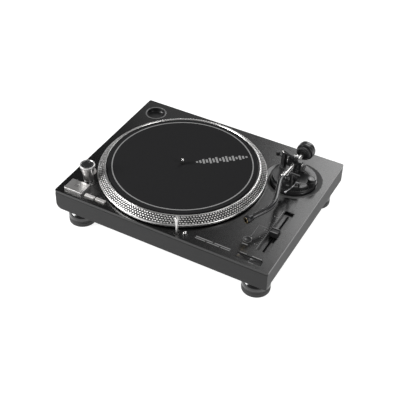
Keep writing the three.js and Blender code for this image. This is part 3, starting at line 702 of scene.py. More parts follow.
class TURNTABLE_OT_platter(Operator):
    """Build the platter with its strobe dots, the slipmat and the spindle"""
    bl_idname = "turntable.platter"
    bl_label = "Platter"

    def execute(self, context):
        rim = context.scene.turntable_platter
        section = [(3.9, 10), (20, 10), (22, 13.5), (144, 13.5), (152, 8), (157, 4.6), (161, 2.6),
                   (165.4, 2.6), (166, 3.2), (166, 6.8), (165.4, 7.6), (164.6, 7.9), RIM_LOW, RIM_HIGH,
                   (152.5, 19.6), (150.2, 19.6), (149.2, 18.2), (149.2, 17), (3.9, 17), (3.9, 10)]
        platter = lathe("platter_casting", section, stand(*SPINDLE), sides(2), 0.2)
        seat(platter, "platter", "rim_machined", "platter", slot="cast_aluminium")
        middle = at(*SPINDLE)

        def on_cone(centre, normal):
            return (RIM_HIGH[0] + 0.1 < off_axis(centre, middle) < RIM_LOW[0] - 0.1 and normal.z > 0.1
                    and centre.z > middle.z + 8 * MM)

        paint(platter, "rim_cast", on_cone)
        paint(platter, "black_satin", lambda c, n: off_axis(c, middle) < 149.6)
        paint(platter, "rim_cast", lambda c, n: n.z < -0.3)
        dots = strobe_dots(rim.dots, rim.dot_length, rim.dot_width)
        seat(dots, "platter", "dot_metal", slot="cast_aluminium")
        felt = [(3.9, 17.3), (MAT_RADIUS - 0.7, 17.3), (MAT_RADIUS - 0.1, 17.8), (MAT_RADIUS, 18.8),
                (MAT_RADIUS - 0.2, 19.7), (MAT_RADIUS - 0.8, 20.2), (MAT_RADIUS - 2, MAT_TOP), (4.4, MAT_TOP),
                (3.9, 20), (3.9, 17.3)]
        mat = lathe("slipmat_felt", felt, stand(*SPINDLE), sides(1.5), 0)
        seat(mat, "platter", "mat_felt", "slipmat", slot="felt")
        inner, outer = rim.ring_radius / MM - 1.1, rim.ring_radius / MM + 1.1
        ring = lathe("mat_ring", [(inner, 0), (outer, 0), (outer, 0.08), (inner, 0.08), (inner, 0)],
                     stand(*SPINDLE, MAT_TOP + 0.02), sides(1.5), 0)
        seat(ring, "platter", "felt_print", slot="felt")
        motif = seat(mat_motif(), "platter", "felt_print", slot="felt")
        spindle = [(0, -26), (3.6, -26), (3.6, 26.4), (3.5, 27.6), (3.2, 29), (2.7, 30.4), (2.0, 31.6),
                   (1.1, 32.5), (0, 33)]
        seat(lathe("spindle_pin", spindle, stand(*SPINDLE), 32, 0.1), "platter", "chrome", "spindle",
             slot="bright_metal")
        return {"FINISHED"}


# ---- Start, speed and strobe ---------------------------------------------------------------------

START_KEY_TOP = 6.0
SPEED_NUMBERS = {"33": (66, 24.6), "45": (90, 24.6)}


def hollow_key(name, node):
    """A key with a shallow hollow in its top."""
    obj = refined(name, node, 0.5, 3)
    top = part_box(node)[1].z
    return press(obj, lambda f: f.normal.z > 0.9 and f.center.z > top - 0.2 * MM and f.area > 1e-5, 1, -0.25)


class TURNTABLE_OT_start_controls(Operator):
    """Build the start key, the speed keys and the strobe tower with its knob"""
    bl_idname = "turntable.start_controls"
    bl_label = "Start, speed and strobe"

    def execute(self, context):
        key = refined("start_key", "start_stop_button", 0.7, 3)
        seat(key, "start_stop_button", "silver_brushed", slot="button_metal")
        symbol = [(30.2, 39.2, y, y + 0.8) for y in (26.6, 23.6)]
        seat(bars("start_mark", symbol, stand(0, 0, START_KEY_TOP + 0.01)), "start_stop_button", "slot_black")
        for speed in SPEED_NUMBERS:
            key = f"speed_{speed}_button"
            seat(refined("speed_key_" + speed, key, 0.5, 3), key, "key_bright", slot="button_metal")
        words = [(speed, x, y) for speed, (x, y) in SPEED_NUMBERS.items()]
        seat(numerals("speed_numbers", words), "root", "ink")
        self.tower()
        self.knob()
        labels = [(43, 46.6, 42, 44.4), (47.4, 49.4, 45.4, 47.8), (50.4, 54, 47.6, 49.8),
                  (45.6, 49.4, 49, 51)]
        seat(bars("power_labels", labels, PRINTED), "root", "ink")
        return {"FINISHED"}

    def tower(self):
        here = stand(*TOWER)
        facing = here @ rotation(45)
        body = [(0, 0.3), (9.3, 0.3), (9.3, 1.0), (8.9, 1.5), (9.3, 2.2), (10.2, 9), (11.5, 17), (12.8, 24.6),
                (13.7, 30), (14.1, 31.6), (14.2, 32.3), (0, 32.3)]
        tower = lathe("strobe_body", body, here, sides(), 0.25)
        cut(tower, block("window", (4.5, -6.8, 9), (20, 6.8, 26.6), facing, 1.2))
        seat(smooth(tower, 30), "root", "silver_turned", "strobe_tower", slot="button_metal")
        deselect()
        bpy.ops.mesh.primitive_uv_sphere_add(segments=32, ring_count=20, radius=1)
        lens = named(bpy.context.object, "strobe_window")
        lens.scale = (9.6 * MM, 6.5 * MM, 8.6 * MM)
        settle(lens, facing @ shift(6.9, 0, 18))
        edit(lens)
        bpy.ops.mesh.bisect(plane_co=facing @ (Vector((5, 0, 0)) * MM),
                            plane_no=facing.to_3x3() @ Vector((1, 0, 0)), use_fill=True, clear_inner=True)
        finish_edit()
        soften(lens, 0)
        # The window's light grey is painted reflection, not the lens's own colour.
        seat(lens, "root", "lamp_glass", "strobe_lens", slot="lamp_lens")

    def knob(self):
        here, middle = stand(*TOWER), at(*TOWER)
        knob = [(0, 32.8), (14.2, 32.8), (14.7, 33.6), (14.8, 36.6), (14.3, 37.6), (13.4, 38), (12.6, 38),
                (12.2, 37.5), (11.9, 37.1), (0, 37.1)]
        knob = lathe("power_cap", knob, here, sides(), 0.15)
        seat(knob, "power_knob", "silver_turned", "power_knob", slot="button_metal")
        paint(knob, "black_satin", lambda c, n: off_axis(c, middle) < 11.95 and c.z > middle.z + 36.5 * MM)
        ticks = around(block("tick", (8.8, -0.35, 37.11), (10.6, 0.35, 37.2), here, 0), 12, here)
        pointer = block("pointer", (-0.5, 5.2, 37.11), (0.5, 9.0, 37.22), here, 0)
        seat(join("power_marks", [ticks, pointer]), "power_knob", "ink")


class TURNTABLE_OT_lamp(Operator):
    """Build the pop-up lamp and its release button"""
    bl_idname = "turntable.lamp"
    bl_label = "Lamp"

    def execute(self, context):
        here = stand(*LAMP)
        stem = [(0, -7), (4.6, -7), (4.6, -4.5), (1.9, -4), (1.9, 0.6), (2.2, 6), (2.8, 14), (3.5, 22.4),
                (4.1, 29.4), (4.2, 36.1), (3.9, 37.4), (3.2, 38), (0, 38)]
        post = lathe("lamp_post", stem, here, 48, 0.1)
        cut(post, block("notch", (0.4, -1.9, 32), (6, 1.9, 39), here, 0.3))
        seat(smooth(post, 30), "target_lamp", "silver_turned", "target_lamp", slot="button_metal")
        lens = lathe("lamp_bulb", [(0, 0), (1.6, 0), (1.8, 1.6), (1.6, 3), (1.0, 4.1), (0, 4.5)],
                     here @ shift(2.3, 0, 32.4), 24, 0.1)
        seat(lens, "target_lamp", "lamp_white", "target_lamp_lens", slot="lamp_window")
        collar = [(5, -41), (6, -41), (6, 0.3), (5.8, 0.6), (5.2, 0.6), (5, 0.3), (5, -41)]
        seat(lathe("lamp_collar", collar, here, 48, 0.1), "root", "black_gloss", "target_lamp_sleeve",
             slot="black_plastic")
        button = [(0, -7.5), (3.5, -7.5), (3.5, 4.2), (3.3, 5.2), (2.7, 6.0), (1.7, 6.5), (0, 6.7)]
        seat(lathe("release_key", button, stand(*RELEASE), 32, 0.1), "lamp_release_button", "chrome",
             "lamp_release_button", slot="bright_metal")
        collar = [(3.7, 0.02), (4.9, 0.02), (4.9, 0.3), (4.5, 0.5), (3.8, 0.3), (3.7, 0.02)]
        seat(lathe("release_collar", collar, stand(*RELEASE), 32, 0.05), "root", "black_gloss")
        return {"FINISHED"}


# ---- Pitch controls ------------------------------------------------------------------------------

FADER_ZERO = FADER_Y + 0.6
FADER_REACH = 42.6
# The light lines along the fader cap's top edges, raised ridges whose light grey is a painted highlight:
# their distance from its ends, and their width.
FADER_HIGHLIGHT_LINES = (0.8, 1.1)


class TURNTABLE_OT_pitch_controls(Operator):
    """Build the pitch fader with its scale, and the keys in front of it"""
    bl_idname = "turntable.pitch_controls"
    bl_label = "Pitch controls"

    def execute(self, context):
        seat(refined("fader_bed", "fader_tray", 0.2), "root", "deck_coat", slot="deck_metal")
        # Black bars either side of the fader's slot: painted shade, widening the dark of the slot.
        shade_bars = [(FADER_X - 2.6, FADER_X - 1.3, 46, 158), (FADER_X + 1.3, FADER_X + 2.6, 46, 158)]
        seat(bars("slot_lips", shade_bars, stand(0, 0, -4.98), 0.3), "root", "slot_black")
        self.fader_cap()
        self.scale()
        leader = [(382.8, 383.2, 70, 105.6), (382.8, 401, 105.3, 105.7), (377, 388, 46, 48)]
        seat(bars("quartz_leader", leader, PRINTED), "root", "ink")
        here = stand(*QUARTZ)
        key = [(0, -7.5), (6.9, -7.5), (6.9, 0.7), (6.6, 1.2), (5.6, 1.4), (4.8, 1.1), (4, 0.8), (0, 0.7)]
        seat(lathe("quartz_key", key, here, 48, 0.1), "quartz_button", "black_gloss", "quartz_button",
             slot="black_plastic")
        ring = [(7.55, -1), (8.3, -1), (8.3, 0.15), (7.55, 0.15), (7.55, -1)]
        seat(lathe("quartz_ring", ring, here, 64, 0.05), "root", "ink")
        # A small white dot on the ring round the quartz key.
        dot = [(0, 0.05), (1.0, 0.05), (1.0, 0.5), (0.6, 0.8), (0, 0.9)]
        seat(lathe("quartz_lamp", dot, here @ shift(5, 6.2, 0), 20, 0.05), "root", "lamp_white")
        for name, node in (("reverse_key", "reverse_button"), ("pitch_range_key", "pitch_range_button")):
            seat(hollow_key(name, node), node, "black_gloss", slot="black_plastic")
        strips = [(297, 331, 20.6, 22.6), (335, 367, 20.6, 22.6), (297, 318, 16.6, 18.2),
                  (321, 346, 16.6, 18.2), (349, 367, 16.6, 18.2), (408, 427, 24.2, 25.8),
                  (408, 418, 8.4, 9.4), (384, 398, 24.2, 25.4)]
        seat(bars("deck_labels", strips, PRINTED), "root", "ink")
        return {"FINISHED"}

    def fader_cap(self):
        x0, x1 = FADER_X - 8.3, FADER_X + 7.7
        y0, y1 = FADER_Y - 7.5, FADER_Y + 7.5
        top = at(FADER_X, FADER_Y, 8)
        cap = block("fader_knob", (x0, y0, -3.4), (x1, y1, 8), ON_DECK, 0)
        edit(cap, lambda f: f.normal.z > 0.9)
        bpy.ops.transform.resize(value=(1, 0.86, 1), center_override=top)
        bpy.ops.mesh.inset(thickness=1.7 * MM, depth=0)
        bpy.ops.transform.translate(value=(0, 0, -1.5 * MM))
        bpy.ops.transform.resize(value=(1.2, 0.8, 1), center_override=top)
        bpy.ops.object.mode_set(mode="OBJECT")
        soften(cap, 0.45, 3, 25)
        stem = block("stem", (FADER_X - 1, FADER_Y - 3, -11), (FADER_X + 1, FADER_Y + 3, -3), ON_DECK, 0.2)
        seat(join("fader_knob", [cap, stem]), "pitch_fader", "rim_cast", "fader_cap", slot="black_plastic")
        margin, width = FADER_HIGHLIGHT_LINES
        # The ridges are built; their light grey colour is a painted highlight on the cap's top edges.
        lines = [block("line", (x0 + margin, y, 7.7), (x1 - margin, y + width, 8.15), ON_DECK, 0.15)
                 for y in (y0 + 1.2, y1 - 2.3)]
        seat(join("fader_lines", lines), "pitch_fader", "felt_print", slot="bright_metal")

    def scale(self):
        ticks = [(405.8, 406.3, 44, 166)]
        words = []
        for step in range(-8, 9):
            y = FADER_ZERO + step * FADER_REACH / 8
            ticks.append((402.6 if step % 4 else 400.6, 405, y - 0.25, y + 0.25))
            if step % 4 == 0:
                words.append((str(abs(step)), 397.6, y))
        seat(bars("pitch_scale", ticks, PRINTED), "root", "ink")
        seat(numerals("pitch_numbers", words), "root", "ink")


class TURNTABLE_OT_adaptor_well(Operator):
    """Build the round well for the centre adaptor"""
    bl_idname = "turntable.adaptor_well"
    bl_label = "Adaptor well"

    def execute(self, context):
        cup = [(0, -10.2), (21.4, -10.2), (21.4, -0.4), (22.2, 0.05), (22.2, 0.5), (21.5, 0.8), (20, 0.8),
               (19.4, 0.4), (19.2, -0.4), (19.2, -7.4), (18.2, -8.6), (0, -8.6)]
        well = lathe("adaptor_cup", cup, stand(*ADAPTOR), sides(), 0.1)
        seat(well, "root", "black_satin", "adaptor_well", slot="black_metal")
        middle = at(*ADAPTOR)
        # The well's raised rim takes the lighter grey coat: a painted highlight along the rim.
        paint(well, "dish_coat",
              lambda c, n: c.z > middle.z + 0.01 * MM and n.z > 0.2 and off_axis(c, middle) > 19.3)
        return {"FINISHED"}


# ---- Back connectors -----------------------------------------------------------------------------

# Left, right, low and high edges of the frame round the switch, and the width of its sides.
SWITCH_FRAME = (205.5, 216.5, -28.3, -21.7, 1.3)


class TURNTABLE_OT_connectors(Operator):
    """Build the sockets at the back"""
    bl_idname = "turntable.connectors"
    bl_label = "Connectors"

    def execute(self, context):
        seat(refined("connector_tray", "back_panel", 0.4), "root", "black_satin", slot="black_plastic")
        seat(refined("mains_socket", "mains_inlet", 0.3), "root", "black_gloss", slot="black_plastic")
        sockets = refined("socket_block", "output_sockets", 0.15)
        seat(sockets, "root", "black_satin", slot="gold_contact")
        face = at(0, REAR_FACE + 1.2).y
        paint(sockets, "gold", lambda c, n: c.y > face)
        ring = [(4.3, 0), (6.4, 0), (6.4, 2), (6, 2.6), (4.6, 2.6), (4.3, 2.2), (4.3, 0)]
        for side, x, finish in (("left", 268.5, "white_plastic"), ("right", 283.5, "red_plastic")):
            place = stand(x, REAR_FACE + 1.1, SOCKET_LEVEL) @ TO_BACK
            seat(lathe("socket_ring_" + side, ring, place, 40, 0.1), "root", finish)
        nut = [(0, 0.3), (2, 0.3), (2, 3), (4.2, 3), (4.6, 3.5), (4.6, 8.1), (4.2, 8.5), (2, 8.5), (2, 10),
               (0, 10)]
        knob = lathe("ground_screw", nut, stand(246, REAR_FACE, SOCKET_LEVEL) @ TO_BACK, 32, 0.1)
        press(knob, lambda f: abs(f.normal.y) < 0.2 and f.area > 3e-6, 0.12, 0.25)
        seat(knob, "ground_nut", "chrome", "ground_nut", slot="bright_metal")
        switch = refined("line_switch", "output_switch", 0.3)
        seat(switch, "output_switch", "white_plastic", slot="black_plastic")
        left, right, low, high, rim = SWITCH_FRAME
        sides = [(left, low, right, low + rim), (left, high - rim, right, high),
                 (left, low + rim, left + rim, high - rim), (right - rim, low + rim, right, high - rim)]
        frame_bars = [block("frame", (x0, 0.1, z0), (x1, 0.8, z1), stand(0, REAR_FACE), 0.15)
                      for x0, z0, x1, z1 in sides]
        seat(join("switch_frame", frame_bars), "root", "ink")
        return {"FINISHED"}


# ---- Tonearm base --------------------------------------------------------------------------------

def screw_head(name, place, radius, height):
    """A low screw head with a slot across it."""
    section = [(0, 0), (radius, 0), (radius, height * 0.7), (radius * 0.8, height), (0, height)]
    groove = block("groove", (-radius, -0.35, height * 0.45), (radius, 0.35, height * 2), place, 0)
    return cut(lathe(name, section, place, 28, 0.12), groove)


class TURNTABLE_OT_arm_base(Operator):
    """Build the arm's dish, height ring, base, rest, levers and bearing bracket"""
    bl_idname = "turntable.arm_base"
    bl_label = "Tonearm base"

    def execute(self, context):
        x, y, _ = PIVOT
        here = stand(x, y)
        dish = [(32, -8), (57, -8), (57, -0.1), (56.7, 0.1), (56, 0), (55, -0.6), (48.4, -2.9), (47.4, -3.6),
                (47, -6.2), (32, -6.2), (32, -8)]
        # The dish's lighter grey is painted sheen: it stands in for the light that the dish's slope reflects.
        seat(lathe("arm_dish_cone", dish, here, sides(1.5), 0.1), "root", "dish_coat", "arm_dish",
             slot="deck_metal")
        ring = [(31, -5.9), (45.2, -5.9), (46, -5.1), (46, 1.2), (45.5, 1.7), (45.5, 2.3), (46, 2.8),
                (46, 5.6), (45.6, 6.4), (44.8, 7), (31, 7), (31, -5.9)]
        ring = lathe("height_dial", ring, here, sides(1.5), 0.15)
        middle = at(x, y)
        press(ring, lambda f: off_axis(f.center, middle) > 45.9 and abs(f.normal.z) < 0.1
              and -2.2 < (f.center.z - middle.z) / MM < 6 and f.area > 2e-6, 0.25, -0.3)
        seat(ring, "height_ring", "black_gloss", "height_ring", slot="black_metal")
        marks = [block("mark", (42.6, -0.2, 7.0), (44.6 if i % 5 else 44.9, 0.2, 7.08),
                       here @ rotation(i * 6 - 150), 0) for i in range(46)]
        seat(join("height_marks", marks), "height_ring", "ink")
        seat(refined("arm_base_plate", "arm_base", 0.35), "arm_base", "black_gloss", slot="black_metal")
        arc = [block("arc", (35.4, -0.9, 13.0), (38.8, 0.9, 13.1),
                     here @ rotation(angle), 0) for angle in range(-88, -34, 4)]
        seat(join("height_scale", arc), "arm_base", "felt_print")
        seat(refined("rest_post", "arm_rest", 0.5, 3), "arm_base", "black_satin", slot="black_plastic")
        seat(refined("rest_catch", "rest_clip", 0.5, 3), "rest_clip", "black_satin", slot="black_plastic")
        seat(refined("lifter", "lifter_bar", 0.3), "lifter", "black_satin", slot="black_metal")
        lock = refined("lock_handle", "height_lock_lever", 0.4)
        seat(lock, "height_lock", "black_gloss", slot="black_plastic")
        self.cue_lever(here)
        self.anti_skate()
        self.bracket()
        return {"FINISHED"}

    def cue_lever(self, here):
        deselect()
        bpy.ops.curve.primitive_bezier_curve_add()
        rod = bpy.context.object
        spline = rod.data.splines[0]
        spline.bezier_points.add(2)
        places = [(17, -32, 21), (18.5, -46, 25), (16.5, -58, 25), (12, -67, 23)]
        for point, where in zip(spline.bezier_points, places):
            point.co = Vector(where) * MM
            point.handle_left_type = point.handle_right_type = "AUTO"
        rod.data.bevel_depth = 0.8 * MM
        rod.data.bevel_resolution = 4
        rod.data.use_fill_caps = True
        bpy.ops.object.convert(target="MESH")
        rod = settle(bpy.context.object, here)
        hub = lathe("hub", [(0, -3.5), (2.6, -3.5), (3, -3.1), (3, 3.1), (2.6, 3.5), (0, 3.5)],
                    here @ shift(19.6, -32, 21) @ TO_RIGHT, 32, 0.1)
        tip = lathe("tip", [(0, -1.2), (1.6, -1), (2, 0), (1.9, 3), (1.2, 4), (0, 4.2)],
                    here @ shift(12.4, -66.2, 23.2)
                    @ Euler((math.radians(105), 0, math.radians(-28))).to_matrix().to_4x4(), 24, 0.1)
        lever = join("cue_handle", [rod, hub, tip])
        smooth(lever, 40)
        seat(lever, "cue_lever", "zinc", "cue_lever", slot="bright_metal")

    def anti_skate(self):
        here, middle = stand(*ANTI_SKATE), at(*ANTI_SKATE)
        dial = [(0, 14.3), (8.2, 14.3), (8.2, 20.9), (7.8, 21.7), (7, 22), (6.2, 22), (5.6, 21.5), (5, 21),
                (0, 20.7)]
        knob = lathe("skate_knob", dial, here, 48, 0.12)
        press(knob, lambda f: abs(f.normal.z) < 0.1 and f.area > 3e-6, 0.16, -0.25)
        seat(knob, "anti_skate", "black_satin", "anti_skate_dial", slot="black_plastic")
        paint(knob, "dish_coat", lambda c, n: off_axis(c, middle) < 7.4 and n.z > 0.3)
        ticks = around(block("tick", (9.0, -0.2, 14.0), (10.6, 0.2, 14.08), here, 0), 16, here)
        seat(named(ticks, "skate_scale"), "arm_base", "ink")
        pointer = block("skate_pointer", (-0.35, 2.6, 20.75), (0.35, 5.2, 21.3), here, 0.1)
        seat(pointer, "anti_skate", "ink")

    def bracket(self):
        seat(refined("bracket", "bearing_bracket", 0.6, 3), "arm_base", "black_gloss", slot="black_metal")
        here = stand(PIVOT[0], PIVOT[1], 0, BRACKET_TURN)
        screw = screw_head("pivot_screw", here @ shift(0, 0, 59), 3.3, 1.6)
        seat(screw, "arm_base", "chrome", slot="bright_metal")
        nut = lathe("pivot_nut", [(0, 57), (5.2, 57), (5.2, 58.7), (4.7, 59.2), (0, 59.2)], here, 6, 0.2)
        seat(nut, "arm_base", "zinc", slot="bright_metal")
        face = here @ shift(-29.2, -4.25, 53.5) @ rotation(90, "X")
        seat(screw_head("bracket_screw", face, 2.1, 1.0), "arm_base", "chrome", slot="bright_metal")


# ---- Tonearm -------------------------------------------------------------------------------------

class TURNTABLE_OT_arm(Operator):
    """Build the gimbal, the arm, its locking collar and the counterweight"""
    bl_idname = "turntable.arm"
    bl_label = "Tonearm"

    def execute(self, context):
        seat(refined("gimbal_frame", "gimbal_ring", 0.4, 3), "gimbal", "black_gloss", slot="black_metal")
        for side, sign in (("left", -1), ("right", 1)):
            place = stand(*PIVOT, ARM_PARKED) @ shift(sign * 14.5, 0, 0) @ rotation(sign * 90, "Y")
            screw = screw_head("gimbal_screw_" + side, place, 2.6, 1.4)
            seat(screw, "gimbal", "chrome", slot="bright_metal")
        housing = refined("bearing_housing_block", "pivot_housing", 0.4, 3)
        seat(housing, "arm", "black_gloss", slot="black_metal")
        along = ARM @ TO_BACK
        shaft = [(0, -50), (5.6, -50), (6.2, -49.4), (6.2, -44.4), (5.8, -44), (5.8, -42.8), (6.2, -42.4),
                 (6.2, -36.4), (5.6, -35.6), (4.2, -33.6), (4.2, 57.4), (3.6, 58), (0, 58)]
        seat(lathe("arm_rod", shaft, along, 48, 0.08), "arm", "rod_metal", "arm_shaft", slot="bright_metal")
        self.tube()
        self.collar()
        self.weight(along)
        return {"FINISHED"}

    def tube(self):
        deselect()
        bpy.ops.curve.primitive_nurbs_path_add()
        path = bpy.context.object
        path.name = "tube_path"
        path.data.splines.clear()
        spline = path.data.splines.new("POLY")
        spline.points.add(len(TUBE_POINTS) - 1)
        for point, (x, y) in zip(spline.points, TUBE_POINTS):
            point.co = (x * MM, y * MM, 0, 1)
        path.data.dimensions = "3D"
        path.data.bevel_depth = 5 * MM
        path.data.bevel_resolution = 8
        path.data.use_fill_caps = True
        bpy.ops.object.convert(target="MESH")
        tube = named(bpy.context.object, "s_tube")
        settle(tube, ARM)
        edit(tube)
        bpy.ops.mesh.remove_doubles(threshold=1e-6)
        finish_edit()
        soften(tube, 0)
        seat(tube, "arm", "arm_black", "arm_tube", slot="black_metal")

    def collar(self):
        place = HEAD @ TO_BACK
        section = [(4.6, -15), (6.4, -15), (6.9, -14.5), (7.0, -13.2), (7.0, -6), (6.8, -4.4), (6.2, -1.2),
                   (5.9, -0.3), (4.6, -0.3), (4.6, -15)]
        nut = lathe("head_nut", section, place, 36, 0.15)
        to_own = place.inverted()

        def on_grip(face):
            centre = to_own @ face.center
            return off_axis(centre) > 6.85 and -13.5 < centre.z / MM < -5 and face.area > 4e-6

        press(nut, on_grip, 0.22, 0.25)
        seat(nut, "locking_collar", "black_anodised", "locking_collar", slot="black_metal")
        lip = [(4.3, -15.3), (5.9, -15.3), (6.1, -15), (5.9, -14.9), (4.3, -14.9), (4.3, -15.3)]
        seat(lathe("head_nut_lip", lip, place, 40, 0.05), "locking_collar", "gold", slot="gold_contact")
        core = [(0, -8), (4.2, -8), (4.2, -0.3), (0, -0.3)]
        seat(lathe("contact_core", core, place, 32, 0.15), "arm", "black_satin", "contact_block",
             slot="gold_contact")
        pin = [(0, -9.6), (0.5, -9.4), (0.75, -9), (0.75, -7.9), (0, -7.9)]
        pins = [lathe("pin", pin, place @ shift(x, y, 0), 16, 0.05) for x in (-1.4, 1.4) for y in (-1.4, 1.4)]
        seat(join("contact_pins", pins), "arm", "gold", slot="gold_contact")

    def weight(self, along):
        to_own = along.inverted()
        sleeve = [(4.7, 31.5), (7.9, 31.5), (7.9, 55), (4.7, 55), (4.7, 31.5)]
        seat(lathe("weight_bush", sleeve, along, 40, 0.2), "weight_sleeve", "rubber", "weight_sleeve",
             slot="foot_rubber")
        dial = [(8.2, 31), (13, 31), (14, 31.6), (14.4, 32.4), (14.4, 36.6), (14, 37.2), (8.2, 37.2),
                (8.2, 31)]
        dial = lathe("force_dial", dial, along, 48, 0.12)
        press(dial, lambda f: off_axis(to_own @ f.center) > 14.2 and f.area > 3e-6, 0.22, -0.25)
        seat(dial, "tracking_force_dial", "black_satin", "tracking_force_dial", slot="black_plastic")
        marks = [block("mark", (11.6 if i % 5 else 10.4, -0.2, 30.86), (12.8, 0.2, 31),
                       along @ rotation(i * 12), 0) for i in range(30)]
        seat(join("force_marks", marks), "tracking_force_dial", "ink")
        body = [(8.2, 37.6), (15.8, 37.6), (16.9, 38.2), (17.5, 39.4), (17.6, 41), (17.6, 43.4), (17.1, 44),
                (17.1, 44.8), (17.6, 45.4), (17.6, 50), (17.2, 51.4), (16, 52.4), (14.6, 52.8), (14.2, 53.2),
                (14.2, 54.8), (13.6, 55.7), (12.4, 56), (8.2, 56), (8.2, 37.6)]
        seat(lathe("weight_body", body, along, sides(), 0.2), "counterweight", "black_gloss", "counterweight",
             slot="black_metal")


# ---- Nodes that keep their own shape -------------------------------------------------------------

# The fader's track is black all over so that the slot above it reads black: painted shade.
KEPT = {
    "bearing_housing": "zinc", "motor_stator": "copper", "main_board": "board", "power_supply": "zinc",
    "rotor_magnet": "black_satin", "fader_track": "slot_black",
}


class TURNTABLE_OT_inner_works(Operator):
    """Give the motor, the boards and the fader's track their finishes"""
    bl_idname = "turntable.inner_works"
    bl_label = "Inner works"

    def execute(self, context):
        for node, finish in KEPT.items():
            obj = frame["nodes"][node]
            for slot in obj.material_slots:
                slot.material = material(finish)
            if not obj.material_slots:
                obj.data.materials.append(material(finish))
        return {"FINISHED"}


# ---- Stage ---------------------------------------------------------------------------------------

CAMERA_PLACE = at(848.77, -1013.18, 1087.08)
CAMERA_RIGHT = Vector((0.87632, 0.48131, 0.01986))
CAMERA_AHEAD = Vector((-0.35472, 0.67264, -0.64941))
CAMERA_LENS = 79.63

# Place, what it is aimed at, size across and up, power in watts and name.
LIGHTS = [
    ((0.26, 1.55, 1.26), (0.08, 0.05, 0.08), 1.3, 0.95, 19, "panel_back"),
    ((-0.80, 1.50, 1.00), (-0.05, 0.05, 0.08), 0.6, 0.6, 0.5, "panel_back_left"),
    ((0.1, 0.05, 1.9), (0.05, 0.0, 0.08), 0.9, 0.7, 2.5, "panel_top"),
    ((-1.3, -1.0, 0.8), (-0.05, 0.0, 0.05), 0.8, 0.8, 34, "panel_left"),
    ((1.5, -0.3, 0.7), (0.1, 0.05, 0.06), 0.6, 0.8, 10, "panel_right"),
]


FLOOR_GREY, FLOOR_GLOW = 0.35, 0.9
ROOM_LIGHT, ROOM_SEEN = 0.10, 0.95


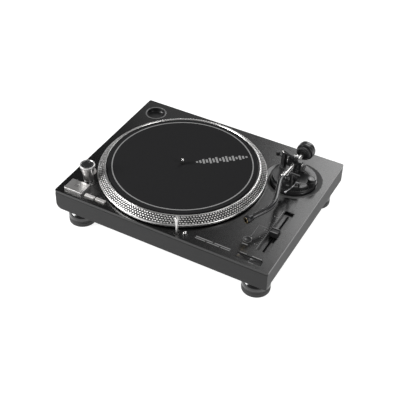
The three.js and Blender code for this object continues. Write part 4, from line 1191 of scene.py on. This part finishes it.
class TURNTABLE_OT_stage(Operator):
    """Set up the floor, the soft lights, the surroundings and the camera"""
    bl_idname = "turntable.stage"
    bl_label = "Stage"

    def execute(self, context):
        scene = context.scene
        scene.view_settings.view_transform = "Standard"
        deselect()
        bpy.ops.object.camera_add(location=CAMERA_PLACE)
        camera = context.object
        up = CAMERA_RIGHT.cross(CAMERA_AHEAD)
        axes = Matrix((CAMERA_RIGHT, up, -CAMERA_AHEAD)).transposed().to_4x4()
        camera.matrix_world = Matrix.Translation(CAMERA_PLACE) @ axes
        camera.data.lens = CAMERA_LENS
        camera.data.clip_end = 60
        scene.camera = camera
        for place, aim, width, height, power, name in LIGHTS:
            bpy.ops.object.light_add(type="AREA", location=place)
            light = context.object
            light.name = name
            light.data.shape = "RECTANGLE"
            light.data.size, light.data.size_y = width, height
            light.data.energy = power
            light.rotation_euler = (Vector(aim) - Vector(place)).to_track_quat("-Z", "Y").to_euler()
        bpy.ops.mesh.primitive_plane_add(size=30, location=(0, 0, -0.0002))
        floor = context.object
        floor.name = "floor"
        floor.data.materials.append(self.floor_finish())
        self.surroundings(scene)
        return {"FINISHED"}

    def floor_finish(self):
        made = bpy.data.materials.new("floor_pale")
        made.use_nodes = True
        shader = made.node_tree.nodes["Principled BSDF"]
        shader.inputs["Base Color"].default_value = (FLOOR_GREY, FLOOR_GREY, FLOOR_GREY, 1)
        shader.inputs["Roughness"].default_value = 0.9
        shader.inputs["Emission Color"].default_value = (1, 1, 1, 1)
        shader.inputs["Emission Strength"].default_value = FLOOR_GLOW
        return made

    def surroundings(self, scene):
        world = bpy.data.worlds.new("studio")
        scene.world = world
        world.use_nodes = True
        nodes, link = world.node_tree.nodes, world.node_tree.links.new
        dim = nodes["Background"]
        dim.inputs["Color"].default_value = (1, 1, 1, 1)
        dim.inputs["Strength"].default_value = ROOM_LIGHT
        bright = nodes.new("ShaderNodeBackground")
        bright.inputs["Color"].default_value = (1, 1, 1, 1)
        bright.inputs["Strength"].default_value = ROOM_SEEN
        path = nodes.new("ShaderNodeLightPath")
        mix = nodes.new("ShaderNodeMixShader")
        link(path.outputs["Is Camera Ray"], mix.inputs["Fac"])
        link(dim.outputs["Background"], mix.inputs[1])
        link(bright.outputs["Background"], mix.inputs[2])
        link(mix.outputs["Shader"], nodes["World Output"].inputs["Surface"])


# ---- Panel and registration ----------------------------------------------------------------------

BUILD_STEPS = [
    TURNTABLE_OT_stage, TURNTABLE_OT_casing, TURNTABLE_OT_feet, TURNTABLE_OT_platter,
    TURNTABLE_OT_start_controls, TURNTABLE_OT_lamp, TURNTABLE_OT_pitch_controls, TURNTABLE_OT_adaptor_well,
    TURNTABLE_OT_connectors, TURNTABLE_OT_arm_base, TURNTABLE_OT_arm, TURNTABLE_OT_inner_works,
]


class TURNTABLE_PT_build(Panel):
    """The colours, the sizes and the steps, in the sidebar"""
    bl_idname = "TURNTABLE_PT_build"
    bl_label = "Turntable"
    bl_space_type = "VIEW_3D"
    bl_region_type = "UI"
    bl_category = "Turntable"

    def draw(self, context):
        scene = context.scene
        for group in (scene.turntable_finish, scene.turntable_platter, scene.turntable_detail):
            box = self.layout.box()
            for name in group.__annotations__:
                box.prop(group, name)
        for step in BUILD_STEPS:
            self.layout.operator(step.bl_idname)


CLASSES = [TurntableFinish, TurntablePlatter, TurntableDetail, *BUILD_STEPS, TURNTABLE_PT_build]


def register():
    for cls in CLASSES:
        bpy.utils.register_class(cls)
    bpy.types.Scene.turntable_finish = PointerProperty(type=TurntableFinish)
    bpy.types.Scene.turntable_platter = PointerProperty(type=TurntablePlatter)
    bpy.types.Scene.turntable_detail = PointerProperty(type=TurntableDetail)


def unregister():
    for name in ("turntable_finish", "turntable_platter", "turntable_detail"):
        delattr(bpy.types.Scene, name)
    for cls in reversed(CLASSES):
        bpy.utils.unregister_class(cls)


def main():
    register()
    bpy.ops.turntable.stage()
    bpy.ops.turntable.casing()
    bpy.ops.turntable.feet()
    bpy.ops.turntable.platter()
    bpy.ops.turntable.start_controls()
    bpy.ops.turntable.lamp()
    bpy.ops.turntable.pitch_controls()
    bpy.ops.turntable.adaptor_well()
    bpy.ops.turntable.connectors()
    bpy.ops.turntable.arm_base()
    bpy.ops.turntable.arm()
    bpy.ops.turntable.inner_works()


if __name__ == "__main__":
    main()
